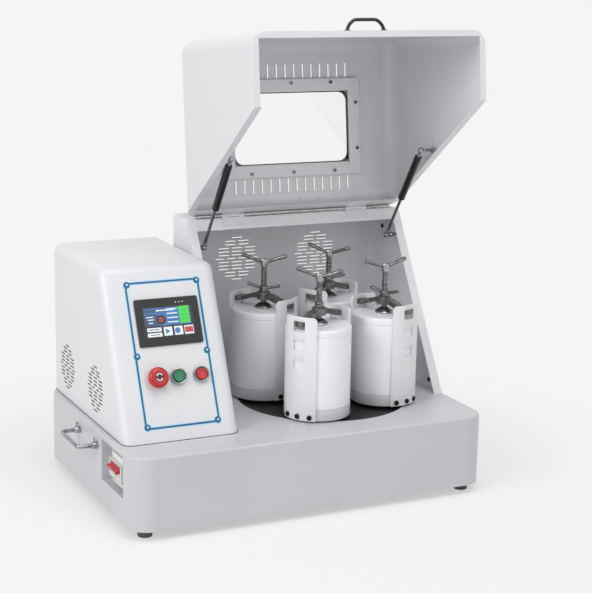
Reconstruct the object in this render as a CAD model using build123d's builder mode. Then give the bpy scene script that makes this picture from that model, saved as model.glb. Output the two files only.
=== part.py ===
from build123d import *
import os
from math import acos, atan2, cos, degrees, pi, radians, sin, sqrt, tan

# Planetary ball mill, millimetres. Origin: middle of the footprint, on the surface it stands on.
# X runs to the right, Y to the back, Z up. The hood is shown open.

# --- Base cabinet -----------------------------------------------------------------------------
BASE_WIDTH = 750.0
BASE_DEPTH = 520.0
BASE_TOP = 160.0
SKIRT_Z = 18.0
BASE_CORNER = 43.0
BASE_EDGE = 4.0
BASE_SHEET = 2.5
FLOOR_SHEET = 2.0
FOOT_HEIGHT = 20.0
FOOT_RADIUS = 14.0
FOOT_INSET = 35.0

# --- Named clearances -------------------------------------------------------------------------
LOOSE_GAP = 0.3
RUN_GAP = 0.05
SEAM_GAP = 0.1

# --- Turntable and planetary gear -------------------------------------------------------------
TABLE_X = 126.5
TABLE_Y = -14.0
TABLE_RADIUS = 172.0
TABLE_THICK = 11.5
TABLE_EDGE = 1.0
PIT_GAP = 3.0
STATION_COUNT = 4
STATION_PHASE = -31.0
GEAR_MODULE = 2.5
SUN_TEETH = 66
PLANET_TEETH = 33
GEAR_WIDTH = 16.0
GEAR_Z = 122.0
TOOTH_THINNING = 0.25
PRESSURE_ANGLE = 20.0

# --- Drive under the turntable ----------------------------------------------------------------
DRIVE_PLATE_Z = 96.0
DRIVE_PLATE_THICK = 8.0
DRIVE_MARGIN_LEFT = 45.0
DRIVE_MARGIN_RIGHT = 85.0
DRIVE_MARGIN_FRONT = 85.0
DRIVE_MARGIN_BACK = 55.0
DRIVE_PLATE_LEFT = DRIVE_MARGIN_LEFT - BASE_WIDTH / 2
DRIVE_PLATE_RIGHT = BASE_WIDTH / 2 - DRIVE_MARGIN_RIGHT
DRIVE_PLATE_FRONT = DRIVE_MARGIN_FRONT - BASE_DEPTH / 2
DRIVE_PLATE_BACK = BASE_DEPTH / 2 - DRIVE_MARGIN_BACK
POST_RADIUS = 9.0
POST_INSET = 20.0
SPINDLE_RADIUS = 15.0
BEARING_RADIUS = 31.0
BEARING_WIDTH = 12.0
BEARING_WALL = 11.0
HOUSING_FLANGE_RADIUS = 62.0
HOUSING_FLANGE_THICK = 6.0
SPINDLE_COLLAR = 19.0
SPINDLE_FLANGE_RADIUS = 45.0
SUN_BORE = 24.0
PULLEY_DRIVEN_RADIUS = 92.0
PULLEY_MOTOR_RADIUS = 36.0
PULLEY_Z = 60.0
PULLEY_WIDTH = 32.0
PULLEY_RIM = 2.0
PULLEY_FLANGE = 4.0
BELT_THICK = 4.0
MOTOR_X = -245.0
MOTOR_Y = 90.0
MOTOR_RADIUS = 75.0
MOTOR_HEIGHT = 254.0
MOTOR_SHAFT = 12.0
MOTOR_OPENING = 85.0
INVERTER_X = -245.0
INVERTER_Y = -36.0
INVERTER_WIDTH = 110.0
INVERTER_DEPTH = 72.0
INVERTER_HEIGHT = 140.0

# --- Jar stations -----------------------------------------------------------------------------
JAR_RADIUS = 65.5
JAR_WALL = 10.5
JAR_FLOOR = 10.0
JAR_HEIGHT = 144.0
JAR_CAP = 14.0
CAP_PLUG = 5.0
CAP_EDGE = 4.0
SEAT_Z = 164.0
SEAT_HEIGHT = 23.0
SEAT_RADIUS = 65.9
SEAT_RECESS = 3.0
SEAT_RECESS_RADIUS = 60.0
PLANET_SHAFT = 12.5
PLANET_BEARING_RADIUS = 26.0
PLANET_BEARING_WIDTH = 15.0
BOSS_RADIUS = 32.0
BOSS_DEPTH = 6.0
SEAT_NECK = 19.5
SHAFT_SHOULDER = 15.5
PLATE_THICK = 4.0
PLATE_HALF_ANGLE = 31.0
PLATE_TOP = 371.0
PLATE_CORNER = 9.0
PLATE_SLOT_WIDTH = 26.0
PLATE_SLOT_HEIGHT = 20.0
PLATE_SLOT_TOP = 362.0
PLATE_SLOT_PITCH = 38.0
PLATE_SLOT_COUNT = 3
PLATE_SCREW_STEP = 21.0
PLATE_SCREW_Z = 171.5
SCREW_HEAD_RADIUS = 5.0
SCREW_HEAD_HEIGHT = 3.0
SCREW_SHANK = 3.0
SCREW_LENGTH = 12.0
PRESSER_HEIGHT = 10.0
PRESSER_RADIUS = 19.0
PRESSER_TRAVEL = 8.0
PRESSER_BRIM = 3.0
PRESSER_CROWN = 9.0
SOCKET_DEPTH = 5.0
BAR_THICK = 10.0
BAR_WIDTH = 24.0
BAR_WAIST = 17.0
BAR_OVERHANG = 4.0
BAR_RISE = 12.0
BAR_BOSS_RADIUS = 14.0
BAR_BOSS_TOP = 378.0
BAR_SHOULDER = 56.0
BAR_CROWN = 20.0
CLAMP_RADIUS = 6.0
CLAMP_TIP = 5.0
CLAMP_HUB_Z = 430.0
CLAMP_HUB_HEIGHT = 16.0
CLAMP_HUB_RADIUS = 7.5
HUB_HOLE = 4.5
HUB_HOLE_DEPTH = 4.0
CLAMP_ARM = 50.0
CLAMP_ARM_RADIUS = 3.75
CLAMP_ARM_RISE = 19.0
NUT_RADIUS = 9.0
NUT_HEIGHT = 12.0
NUT_ARM = 37.0
NUT_ARM_RADIUS = 3.2
NUT_ARM_RISE = 14.0

# Heading of each station's clamp bar, tommy handle and lock nut wings, in degrees about Z.
CLAMP_HEADINGS = (-72.4, -148.9, -61.5, -149.5)
HANDLE_HEADINGS = (-0.2, -49.2, -33.0, -38.3)
NUT_HEADINGS = (-63.7, -20.0, -45.0, 60.0)

# --- Control box ------------------------------------------------------------------------------
BOX_LEFT = -362.5
BOX_RIGHT = -128.0
BOX_BACK = 260.0
BOX_TOP = 468.0
BOX_FRONT_FOOT = -179.0
BOX_FRONT_HEAD = -38.5
BOX_CORNER = 20.0
BOX_SHEET = 2.0
OVERCUT = 1.0
PANEL_X = -240.0
PANEL_S = 228.0
PANEL_WIDTH = 129.0
PANEL_HEIGHT = 92.0
PANEL_PROUD = 4.0
PANEL_BEHIND = 32.0
PANEL_LAP = 5.0
PANEL_CORNER = 4.0
PANEL_EDGE = 1.0
SCREEN_WIDTH = 102.0
SCREEN_HEIGHT = 60.0
SCREEN_DEPTH = 1.5
BUTTON_S = 121.0
ESTOP_X = -281.0
START_X = -237.6
STOP_X = -191.5
BUTTON_HOLE = 11.1
COLLAR_RADIUS = 15.0
COLLAR_HEIGHT = 3.5
COLLAR_BORE = 12.0
STEM_RADIUS = 4.0
CAP_HEIGHT = 6.5
BLOCK_SIDE = 30.0
BLOCK_DEPTH = 28.0
BUTTON_TRAVEL = 3.0
ESTOP_RADIUS = 20.0
ESTOP_HEIGHT = 21.0
ESTOP_CAP = 13.0
ESTOP_EDGE = 6.0
ESTOP_TRAVEL = 4.0
SIDE_VENT_Z = 228.0
SIDE_VENT_Y = (164.0, -11.5)
SIDE_VENT_RADIUS = 47.0
LOUVRE_WIDTH = 3.4
LOUVRE_LAND = 6.0

# --- Rear housing and hood --------------------------------------------------------------------
HOOD_LEFT = -120.0
HOOD_RIGHT = 373.0
FRONT_LEAN = 30.5
HOUSING_FOOT_Y = -86.0
HOUSING_BACK = 220.0
HOUSING_TOP = 520.5
HOUSING_SHEET = 2.0
HOUSING_CORNER = 27.0
HOUSING_EDGE = 8.0
FLANGE_TOP = 25.0
FLANGE_SIDE = 19.0
REAR_VENT_Z = 414.0
REAR_VENT_SPREAD = 93.0
REAR_VENT_RADIUS = 49.0
LID_GAP = 4.0
LID_FRONT = -225.5
LID_FOOT = 162.0
LID_TOP = 533.0
LID_SHEET = 2.0
LID_CORNER = 28.0
LIP_THICK = 1.5
LIP_FOOT = 12.0
LIP_SIDE = 15.0
LIP_REAR = 28.0
LID_OPEN_ANGLE = 96.5
WINDOW_X = 126.5
WINDOW_Y = -45.0
WINDOW_WIDTH = 265.0
WINDOW_HEIGHT = 150.0
WINDOW_CORNER = 12.0
PANE_LAP = 10.0
PANE_THICK = 3.0
BAR_FRAME_WIDTH = 26.0
BAR_FRAME_THICK = 3.0
GASKET_WIDTH = 8.0
LID_SLOT_COUNT = 14
LID_SLOT_PITCH = 20.0
LID_SLOT_LENGTH = 28.0
LID_SLOT_WIDTH = 4.5
LID_SLOT_ROWS = (-163.0, 74.0)
GRIP_Z = 190.0
GRIP_SPAN = 78.0
GRIP_PROUD = 22.0
GRIP_RADIUS = 3.2
GRIP_BEND = 14.0

# --- Hood hinges ------------------------------------------------------------------------------
HINGE_Y = 129.5
HINGE_Z = 525.0
HINGE_CENTRES = (-16.0, 269.0)
HINGE_WIDTH = 50.0
KNUCKLE_RADIUS = 4.0
KNUCKLE_LID = 24.0
PIN_RADIUS = 2.0
LEAF_THICK = 1.8
LEAF_LENGTH = 23.0

# --- Gas struts -------------------------------------------------------------------------------
STRUT_X = (-86.0, 339.0)
STRUT_LID_Y = 8.0
STRUT_LID_Z = 360.0
STRUT_BODY_Y = 115.0
STRUT_BODY_Z = 464.6
STRUT_CYLINDER = 135.0
STRUT_RADIUS = 7.5
STRUT_WALL = 1.5
ROD_RADIUS = 3.2
ROD_LENGTH = 128.0
PISTON_LENGTH = 5.0
EYE_RADIUS = 6.0
EYE_WIDTH = 10.0
STUD_RADIUS = 3.0
STUD_FLANGE = 6.5

# --- Side handles, breaker, gland -------------------------------------------------------------
HANDLE_Y = -4.5
HANDLE_Z = 130.0
HANDLE_SPAN = 107.0
HANDLE_PROUD = 39.0
HANDLE_RADIUS = 4.0
HANDLE_BEND = 9.0
BREAKER_FROM_FRONT = 107.0
RECESS_FROM_FRONT = 116.0
BREAKER_Y = BREAKER_FROM_FRONT - BASE_DEPTH / 2
RECESS_Y = RECESS_FROM_FRONT - BASE_DEPTH / 2
RECESS_Z = 110.0
RECESS_WIDTH = 120.0
RECESS_HEIGHT = 81.0
RECESS_DEPTH = 22.0
BREAKER_Z = 108.5
BREAKER_WIDTH = 68.0
BREAKER_HEIGHT = 59.0
BREAKER_NOSE = 34.0
BREAKER_BASE_DEPTH = 13.0
BREAKER_NOSE_DEPTH = 6.0
TOGGLE_Z = 115.0
TOGGLE_WIDTH = 52.0
TOGGLE_RADIUS = 4.0
TOGGLE_REACH = 13.0
TOGGLE_THICK = 4.5
TOGGLE_DROOP = 20.0
GLAND_FROM_LEFT = 75.0
GLAND_X = GLAND_FROM_LEFT - BASE_WIDTH / 2
GLAND_Z = 60.0
GLAND_RADIUS = 10.0

os.makedirs("parts", exist_ok=True)

# --- Worked-out levels and places -------------------------------------------------------------
TABLE_TOP = BASE_TOP - BASE_SHEET
TABLE_UNDER = TABLE_TOP - TABLE_THICK
GEAR_TOP = GEAR_Z + GEAR_WIDTH
DRIVE_TOP = DRIVE_PLATE_Z + DRIVE_PLATE_THICK
STATION_RADIUS = GEAR_MODULE * (SUN_TEETH + PLANET_TEETH) / 2
PIT_RADIUS = TABLE_RADIUS + PIT_GAP
JAR_Z = SEAT_Z + SEAT_HEIGHT
JAR_TOP = JAR_Z + JAR_HEIGHT
CAP_TOP = JAR_TOP + JAR_CAP
PLATE_INNER = SEAT_RADIUS + SEAM_GAP
PLATE_OUTER = PLATE_INNER + PLATE_THICK
PRESSER_TOP = CAP_TOP + PRESSER_HEIGHT
HOOD_MIDDLE = (HOOD_LEFT + HOOD_RIGHT) / 2
LEAN_SIN = sin(radians(FRONT_LEAN))
LEAN_COS = cos(radians(FRONT_LEAN))


def polar(radius: float, heading: float) -> tuple[float, float]:
    """Offset of a point at a radius and a heading in degrees."""
    return (radius * cos(radians(heading)), radius * sin(radians(heading)))


def station_centre(index: int) -> tuple[float, float]:
    """Axis of a jar station on the turntable."""
    reach_x, reach_y = polar(STATION_RADIUS, STATION_PHASE + index * 360 / STATION_COUNT)
    return (TABLE_X + reach_x, TABLE_Y + reach_y)


def flat_plane(centre: tuple[float, float], height: float, heading: float = 0.0) -> Plane:
    """Level plane about an axis, its local X turned to a heading."""
    x_dir = (*polar(1, heading), 0)
    return Plane(origin=(*centre, height), x_dir=x_dir, z_dir=(0, 0, 1))


def upright_plane(centre: tuple[float, float], heading: float) -> Plane:
    """Upright plane through an axis: local X along the heading, local Y up."""
    x_dir = (*polar(1, heading), 0)
    normal = (*polar(1, heading - 90), 0)
    return Plane(origin=(*centre, 0), x_dir=x_dir, z_dir=normal)


def housing_front(z: float) -> float:
    """Y of the leaning front plane of the rear housing at a height."""
    return HOUSING_FOOT_Y + (z - BASE_TOP) * tan(radians(FRONT_LEAN))


def hood_rear(z: float) -> float:
    """Y of the closed hood's leaning rear plane at a height."""
    return housing_front(z) - LID_GAP / LEAN_COS


HINGE_LINE = Location((0, HINGE_Y, HINGE_Z))
LID_TURN = HINGE_LINE * Rot(-LID_OPEN_ANGLE, 0, 0) * HINGE_LINE.inverse()


def on_lid(plane: Plane) -> Plane:
    """A plane drawn on the closed hood, carried to the open hood."""
    return Plane(LID_TURN * plane.location)


def lid_point(x: float, y: float, z: float) -> Vector:
    """A point of the closed hood, carried to the open hood."""
    return (LID_TURN * Location((x, y, z))).position


def as_closed(point: Vector) -> Vector:
    """A point of the open hood, carried back to the closed hood."""
    return (LID_TURN.inverse() * Location(point)).position


def gear_outline(teeth: int, tooth_heading: float) -> list[tuple[float, float]]:
    """Points of a spur gear with involute flanks, one tooth centred on a heading."""
    pitch = GEAR_MODULE * teeth / 2
    base = pitch * cos(radians(PRESSURE_ANGLE))
    tip = pitch + GEAR_MODULE
    root = pitch - 1.25 * GEAR_MODULE
    thickness = pi * GEAR_MODULE / 2 - TOOTH_THINNING
    rolled = tan(radians(PRESSURE_ANGLE)) - radians(PRESSURE_ANGLE)

    def half_angle(radius: float) -> float:
        lean = acos(min(1.0, base / radius))
        return thickness / (2 * pitch) + rolled - (tan(lean) - lean)

    flank = [(root, half_angle(max(root, base))), (pitch, half_angle(pitch)), (tip, half_angle(tip))]
    points = []
    for tooth in range(teeth):
        middle = radians(tooth_heading) + tooth * 2 * pi / teeth
        points += [(r * cos(middle - a), r * sin(middle - a)) for r, a in flank]
        points += [(r * cos(middle + a), r * sin(middle + a)) for r, a in reversed(flank)]
    return points


def planet_tooth_heading(index: int) -> float:
    """Heading of a planet tooth that lets a sun tooth fall into a planet gap."""
    contact = index * 360 / STATION_COUNT
    sun_pitch = 360 / SUN_TEETH
    sun_offset = round(contact / sun_pitch) * sun_pitch - contact
    gap_heading = STATION_PHASE + contact + 180 - sun_offset * SUN_TEETH / PLANET_TEETH
    return gap_heading + 180 / PLANET_TEETH


def vent_slots(radius: float) -> list[tuple[float, float, float]]:
    """Louvre slots that fill a circle: centre across, centre up, length."""
    slots_per_row = (1, 2, 2, 3, 3, 3, 4, 3, 3, 3, 2, 2, 1)
    row_pitch = 2 * radius / len(slots_per_row)
    slots = []
    for row, count in enumerate(slots_per_row):
        up = (row - (len(slots_per_row) - 1) / 2) * row_pitch
        chord = 2 * sqrt(radius**2 - up**2)
        length = min((chord - LOUVRE_LAND * (count - 1)) / count, 0.5 * radius)
        for slot in range(count):
            slots.append(((slot - (count - 1) / 2) * (length + LOUVRE_LAND), up, length))
    return slots


# --- Base cabinet -----------------------------------------------------------------------------
WALL_X = BASE_WIDTH / 2
RECESS_PAN = 2.0
with BuildPart() as base_shell:
    with BuildSketch(Plane.XY.offset(SKIRT_Z)):
        RectangleRounded(BASE_WIDTH, BASE_DEPTH, BASE_CORNER)
    extrude(amount=BASE_TOP - SKIRT_Z)
    fillet(base_shell.faces().sort_by(Axis.Z)[-1].edges(), BASE_EDGE)
    with BuildSketch(Plane.XY.offset(SKIRT_Z)):
        RectangleRounded(
            BASE_WIDTH - 2 * BASE_SHEET, BASE_DEPTH - 2 * BASE_SHEET, BASE_CORNER - BASE_SHEET
        )
    extrude(amount=BASE_TOP - BASE_SHEET - SKIRT_Z, mode=Mode.SUBTRACT)
    with BuildSketch(Plane.XY.offset(BASE_TOP)):
        with Locations((TABLE_X, TABLE_Y)):
            Circle(PIT_RADIUS)
        with Locations((MOTOR_X, MOTOR_Y)):
            Circle(MOTOR_OPENING)
    extrude(amount=-BASE_SHEET, mode=Mode.SUBTRACT)
    with BuildSketch(Plane.YZ.offset(-WALL_X)):
        with Locations((RECESS_Y, RECESS_Z)):
            Rectangle(RECESS_WIDTH + 2 * RECESS_PAN, RECESS_HEIGHT + 2 * RECESS_PAN)
    extrude(amount=RECESS_DEPTH + RECESS_PAN)
    with BuildSketch(Plane.YZ.offset(-WALL_X)):
        with Locations((RECESS_Y, RECESS_Z)):
            Rectangle(RECESS_WIDTH, RECESS_HEIGHT)
    extrude(amount=RECESS_DEPTH, mode=Mode.SUBTRACT)
    with BuildSketch(Plane.XZ.offset(-BASE_DEPTH / 2)):
        with Locations((GLAND_X, GLAND_Z)):
            Circle(GLAND_RADIUS)
    extrude(amount=BASE_SHEET, mode=Mode.SUBTRACT)
base_shell.part.label = "base_shell"
export_step(base_shell.part, "parts/base_shell.step")

FLOOR_TOP = FOOT_HEIGHT + FLOOR_SHEET
with BuildPart() as bottom_plate:
    with BuildSketch(Plane.XY.offset(FOOT_HEIGHT)):
        RectangleRounded(
            BASE_WIDTH - 2 * (BASE_SHEET + LOOSE_GAP),
            BASE_DEPTH - 2 * (BASE_SHEET + LOOSE_GAP),
            BASE_CORNER - BASE_SHEET - LOOSE_GAP,
        )
    extrude(amount=FLOOR_SHEET)
bottom_plate.part.label = "bottom_plate"
export_step(bottom_plate.part, "parts/bottom_plate.step")

FOOT_TAPER = 2.0
with BuildPart() as feet:
    with BuildSketch(Plane.XY):
        with GridLocations(BASE_WIDTH - 2 * FOOT_INSET, BASE_DEPTH - 2 * FOOT_INSET, 2, 2):
            Circle(FOOT_RADIUS)
    extrude(amount=FOOT_HEIGHT)
    chamfer(feet.edges().group_by(Axis.Z)[0], FOOT_TAPER)
feet.part.label = "feet"
export_step(feet.part, "parts/feet.step")

# --- Side handles: a bent bar, two collars and two pegs on each side ---------------------------
COLLAR_LENGTH = 12.0
HANDLE_COLLAR = 7.0
PEG_RADIUS = 1.8
PEG_HEIGHT = 8.5
with BuildPart() as side_handles:
    for side in (-1, 1):
        foot_x = side * WALL_X
        grip_x = side * (WALL_X + HANDLE_PROUD)
        with BuildLine(Plane.XY.offset(HANDLE_Z)) as bar_path:
            FilletPolyline(
                (foot_x, HANDLE_Y - HANDLE_SPAN / 2),
                (grip_x, HANDLE_Y - HANDLE_SPAN / 2),
                (grip_x, HANDLE_Y + HANDLE_SPAN / 2),
                (foot_x, HANDLE_Y + HANDLE_SPAN / 2),
                radius=HANDLE_BEND,
            )
        start = Plane(
            origin=(foot_x, HANDLE_Y - HANDLE_SPAN / 2, HANDLE_Z), x_dir=(0, 1, 0), z_dir=(side, 0, 0)
        )
        with BuildSketch(start):
            Circle(HANDLE_RADIUS)
        sweep(path=bar_path.line)
        for end in (-1, 1):
            collar_y = HANDLE_Y + end * HANDLE_SPAN / 2
            collar = Plane(origin=(foot_x, collar_y, HANDLE_Z), x_dir=(0, 1, 0), z_dir=(side, 0, 0))
            with BuildSketch(collar):
                Circle(HANDLE_COLLAR)
            extrude(amount=COLLAR_LENGTH)
            with BuildSketch(Plane.XY.offset(HANDLE_Z)):
                with Locations((foot_x + side * COLLAR_LENGTH / 2, collar_y)):
                    Circle(PEG_RADIUS)
            extrude(amount=HANDLE_COLLAR + PEG_HEIGHT)
side_handles.part.label = "side_handles"
export_step(side_handles.part, "parts/side_handles.step")

# --- Circuit breaker in the left recess --------------------------------------------------------
BREAKER_BACK = -WALL_X + RECESS_DEPTH
TOGGLE_OFFSET = 2.0
TOGGLE_X = BREAKER_BACK - BREAKER_BASE_DEPTH - TOGGLE_OFFSET
NOSE_FRONT = BREAKER_BACK - BREAKER_BASE_DEPTH - BREAKER_NOSE_DEPTH
TOGGLE_SWING = 6.5
with BuildPart() as breaker_body:
    with BuildSketch(Plane.YZ.offset(BREAKER_BACK)):
        with Locations((BREAKER_Y, BREAKER_Z)):
            Rectangle(BREAKER_WIDTH, BREAKER_HEIGHT)
    extrude(amount=-BREAKER_BASE_DEPTH)
    with BuildSketch(Plane.YZ.offset(BREAKER_BACK - BREAKER_BASE_DEPTH)):
        with Locations((BREAKER_Y, BREAKER_Z)):
            Rectangle(BREAKER_WIDTH, BREAKER_NOSE)
    extrude(amount=-BREAKER_NOSE_DEPTH)
    with BuildSketch(Plane.XZ.offset(-BREAKER_Y)):
        with Locations((TOGGLE_X, TOGGLE_Z)):
            Circle(TOGGLE_RADIUS + LOOSE_GAP)
        with Locations((NOSE_FRONT, TOGGLE_Z)):
            Rectangle(2 * (TOGGLE_X - NOSE_FRONT), 2 * TOGGLE_SWING)
    extrude(amount=TOGGLE_WIDTH / 2 + LOOSE_GAP, both=True, mode=Mode.SUBTRACT)
breaker_body.part.label = "breaker_body"
export_step(breaker_body.part, "parts/breaker_body.step")

lever_dir = (-cos(radians(TOGGLE_DROOP)), 0, -sin(radians(TOGGLE_DROOP)))
with BuildPart() as breaker_toggle:
    with BuildSketch(Plane.XZ.offset(-BREAKER_Y)):
        with Locations((TOGGLE_X, TOGGLE_Z)):
            Circle(TOGGLE_RADIUS)
    extrude(amount=TOGGLE_WIDTH / 2, both=True)
    with BuildSketch(Plane(origin=(TOGGLE_X, BREAKER_Y, TOGGLE_Z), x_dir=(0, 1, 0), z_dir=lever_dir)):
        Rectangle(TOGGLE_WIDTH, TOGGLE_THICK)
    extrude(amount=TOGGLE_REACH)
breaker_toggle.part.label = "breaker_toggle"
export_step(breaker_toggle.part, "parts/breaker_toggle.step")

GLAND_NUT = 15.0
GLAND_NUT_LENGTH = 6.0
GLAND_CAP_LENGTH = 5.0
GLAND_CAP_INSET = 4.0
GLAND_CAP_EDGE = 2.0
GLAND_INSIDE = 10.0
GLAND_BORE = 5.0
GLAND_WALL = Plane.XZ.offset(-BASE_DEPTH / 2)
with BuildPart() as cable_gland:
    with BuildSketch(GLAND_WALL):
        with Locations((GLAND_X, GLAND_Z)):
            RegularPolygon(GLAND_NUT, 6)
    extrude(amount=-GLAND_NUT_LENGTH)
    with BuildSketch(GLAND_WALL.offset(-GLAND_NUT_LENGTH)):
        with Locations((GLAND_X, GLAND_Z)):
            Circle(GLAND_NUT - GLAND_CAP_INSET)
    extrude(amount=-GLAND_CAP_LENGTH)
    fillet(cable_gland.edges().group_by(Axis.Y)[-1], GLAND_CAP_EDGE)
    with BuildSketch(GLAND_WALL):
        with Locations((GLAND_X, GLAND_Z)):
            Circle(GLAND_RADIUS - LOOSE_GAP)
    extrude(amount=BASE_SHEET + GLAND_INSIDE)
    with BuildSketch(GLAND_WALL.offset(-GLAND_NUT_LENGTH - GLAND_CAP_LENGTH)):
        with Locations((GLAND_X, GLAND_Z)):
            Circle(GLAND_BORE)
    extrude(
        amount=BASE_SHEET + GLAND_INSIDE + GLAND_NUT_LENGTH + GLAND_CAP_LENGTH, mode=Mode.SUBTRACT
    )
cable_gland.part.label = "cable_gland"
export_step(cable_gland.part, "parts/cable_gland.step")

# --- Drive: plate on posts, bearing housing, spindle, sun gear, pulleys, belt, motor -----------
DRIVE_WIDTH = DRIVE_PLATE_RIGHT - DRIVE_PLATE_LEFT
DRIVE_DEPTH = DRIVE_PLATE_BACK - DRIVE_PLATE_FRONT
DRIVE_MIDDLE = ((DRIVE_PLATE_LEFT + DRIVE_PLATE_RIGHT) / 2, (DRIVE_PLATE_FRONT + DRIVE_PLATE_BACK) / 2)
BARREL_RADIUS = BEARING_RADIUS + BEARING_WALL
with BuildPart() as drive_plate:
    with BuildSketch(Plane.XY.offset(DRIVE_PLATE_Z)):
        with Locations(DRIVE_MIDDLE):
            RectangleRounded(DRIVE_WIDTH, DRIVE_DEPTH, POST_INSET)
        with Locations((TABLE_X, TABLE_Y)):
            Circle(BARREL_RADIUS + SEAM_GAP, mode=Mode.SUBTRACT)
        with Locations((MOTOR_X, MOTOR_Y)):
            Circle(2 * MOTOR_SHAFT, mode=Mode.SUBTRACT)
    extrude(amount=DRIVE_PLATE_THICK)
    with BuildSketch(Plane.XY.offset(FLOOR_TOP)):
        with Locations(DRIVE_MIDDLE):
            with GridLocations(DRIVE_WIDTH - 2 * POST_INSET, DRIVE_DEPTH - 2 * POST_INSET, 2, 2):
                Circle(POST_RADIUS)
    extrude(amount=DRIVE_PLATE_Z - FLOOR_TOP)
drive_plate.part.label = "drive_plate"
export_step(drive_plate.part, "parts/drive_plate.step")

BEARING_STEP = 1.0
BEARING_LIP = 4.0
BEARING_LOW = DRIVE_PLATE_Z + BEARING_STEP
with BuildPart() as bearing_housing:
    with BuildSketch(Plane.XY.offset(DRIVE_PLATE_Z)):
        with Locations((TABLE_X, TABLE_Y)):
            Circle(BARREL_RADIUS)
    extrude(amount=GEAR_Z - DRIVE_PLATE_Z)
    with BuildSketch(Plane.XY.offset(DRIVE_TOP)):
        with Locations((TABLE_X, TABLE_Y)):
            Circle(HOUSING_FLANGE_RADIUS)
    extrude(amount=HOUSING_FLANGE_THICK)
    with BuildSketch(Plane.XY.offset(BEARING_LOW - RUN_GAP)):
        with Locations((TABLE_X, TABLE_Y)):
            Circle(BEARING_RADIUS + RUN_GAP)
    extrude(amount=GEAR_Z - BEARING_LOW + RUN_GAP, mode=Mode.SUBTRACT)
    with BuildSketch(Plane.XY.offset(DRIVE_PLATE_Z)):
        with Locations((TABLE_X, TABLE_Y)):
            Circle(BEARING_RADIUS - BEARING_LIP)
    extrude(amount=BEARING_LOW - DRIVE_PLATE_Z, mode=Mode.SUBTRACT)
    for ring in range(2):
        with BuildSketch(Plane.XY.offset(BEARING_LOW + ring * (BEARING_WIDTH + RUN_GAP))):
            with Locations((TABLE_X, TABLE_Y)):
                Circle(BEARING_RADIUS)
                Circle(SPINDLE_RADIUS + RUN_GAP, mode=Mode.SUBTRACT)
        extrude(amount=BEARING_WIDTH)
bearing_housing.part.label = "bearing_housing"
export_step(bearing_housing.part, "parts/bearing_housing.step")

with BuildPart() as sun_gear:
    with BuildSketch(Plane.XY.offset(GEAR_Z)):
        with Locations((TABLE_X, TABLE_Y)):
            Polygon(*gear_outline(SUN_TEETH, STATION_PHASE), align=None)
            Circle(SUN_BORE, mode=Mode.SUBTRACT)
    extrude(amount=GEAR_WIDTH)
sun_gear.part.label = "sun_gear"
export_step(sun_gear.part, "parts/sun_gear.step")

# The spindle carries the turntable on a flange and the driven pulley below the plate.
COLLAR_FOOT = BEARING_LOW + 2 * BEARING_WIDTH + 2 * RUN_GAP
FLANGE_ROOM = 1.0
FLANGE_FOOT = GEAR_TOP + FLANGE_ROOM
SPINDLE_STUB = 4.0
SPINDLE_FOOT = PULLEY_Z - SPINDLE_STUB
TOP_NUT_RADIUS = 20.0
TOP_NUT_HEIGHT = 6.0
with BuildPart() as main_spindle:
    with BuildSketch(Plane.XY.offset(SPINDLE_FOOT)):
        with Locations((TABLE_X, TABLE_Y)):
            Circle(SPINDLE_RADIUS)
    extrude(amount=TABLE_TOP - SPINDLE_FOOT)
    with BuildSketch(Plane.XY.offset(COLLAR_FOOT)):
        with Locations((TABLE_X, TABLE_Y)):
            Circle(SPINDLE_COLLAR)
    extrude(amount=FLANGE_FOOT - COLLAR_FOOT)
    with BuildSketch(Plane.XY.offset(FLANGE_FOOT)):
        with Locations((TABLE_X, TABLE_Y)):
            Circle(SPINDLE_FLANGE_RADIUS)
    extrude(amount=TABLE_UNDER - FLANGE_FOOT)
    with BuildSketch(Plane.XY.offset(TABLE_TOP)):
        with Locations((TABLE_X, TABLE_Y)):
            RegularPolygon(TOP_NUT_RADIUS, 6)
    extrude(amount=TOP_NUT_HEIGHT)
    with BuildSketch(Plane.XY.offset(PULLEY_Z)):
        with Locations((TABLE_X, TABLE_Y)):
            Circle(PULLEY_DRIVEN_RADIUS)
            Circle(SPINDLE_RADIUS + RUN_GAP, mode=Mode.SUBTRACT)
    extrude(amount=PULLEY_WIDTH)
    for rim in (PULLEY_Z, PULLEY_Z + PULLEY_WIDTH - PULLEY_RIM):
        with BuildSketch(Plane.XY.offset(rim)):
            with Locations((TABLE_X, TABLE_Y)):
                Circle(PULLEY_DRIVEN_RADIUS + PULLEY_FLANGE)
                Circle(SPINDLE_RADIUS + RUN_GAP, mode=Mode.SUBTRACT)
        extrude(amount=PULLEY_RIM)
main_spindle.part.label = "main_spindle"
export_step(main_spindle.part, "parts/main_spindle.step")

SHAFT_IN_MOTOR = 6.0
with BuildPart() as motor_pulley:
    with BuildSketch(Plane.XY.offset(PULLEY_Z)):
        with Locations((MOTOR_X, MOTOR_Y)):
            Circle(PULLEY_MOTOR_RADIUS)
    extrude(amount=PULLEY_WIDTH)
    for rim in (PULLEY_Z, PULLEY_Z + PULLEY_WIDTH - PULLEY_RIM):
        with BuildSketch(Plane.XY.offset(rim)):
            with Locations((MOTOR_X, MOTOR_Y)):
                Circle(PULLEY_MOTOR_RADIUS + PULLEY_FLANGE)
        extrude(amount=PULLEY_RIM)
    with BuildSketch(Plane.XY.offset(PULLEY_Z)):
        with Locations((MOTOR_X, MOTOR_Y)):
            Circle(MOTOR_SHAFT)
    extrude(amount=DRIVE_TOP + SHAFT_IN_MOTOR - PULLEY_Z)
motor_pulley.part.label = "motor_pulley"
export_step(motor_pulley.part, "parts/motor_pulley.step")

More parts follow.
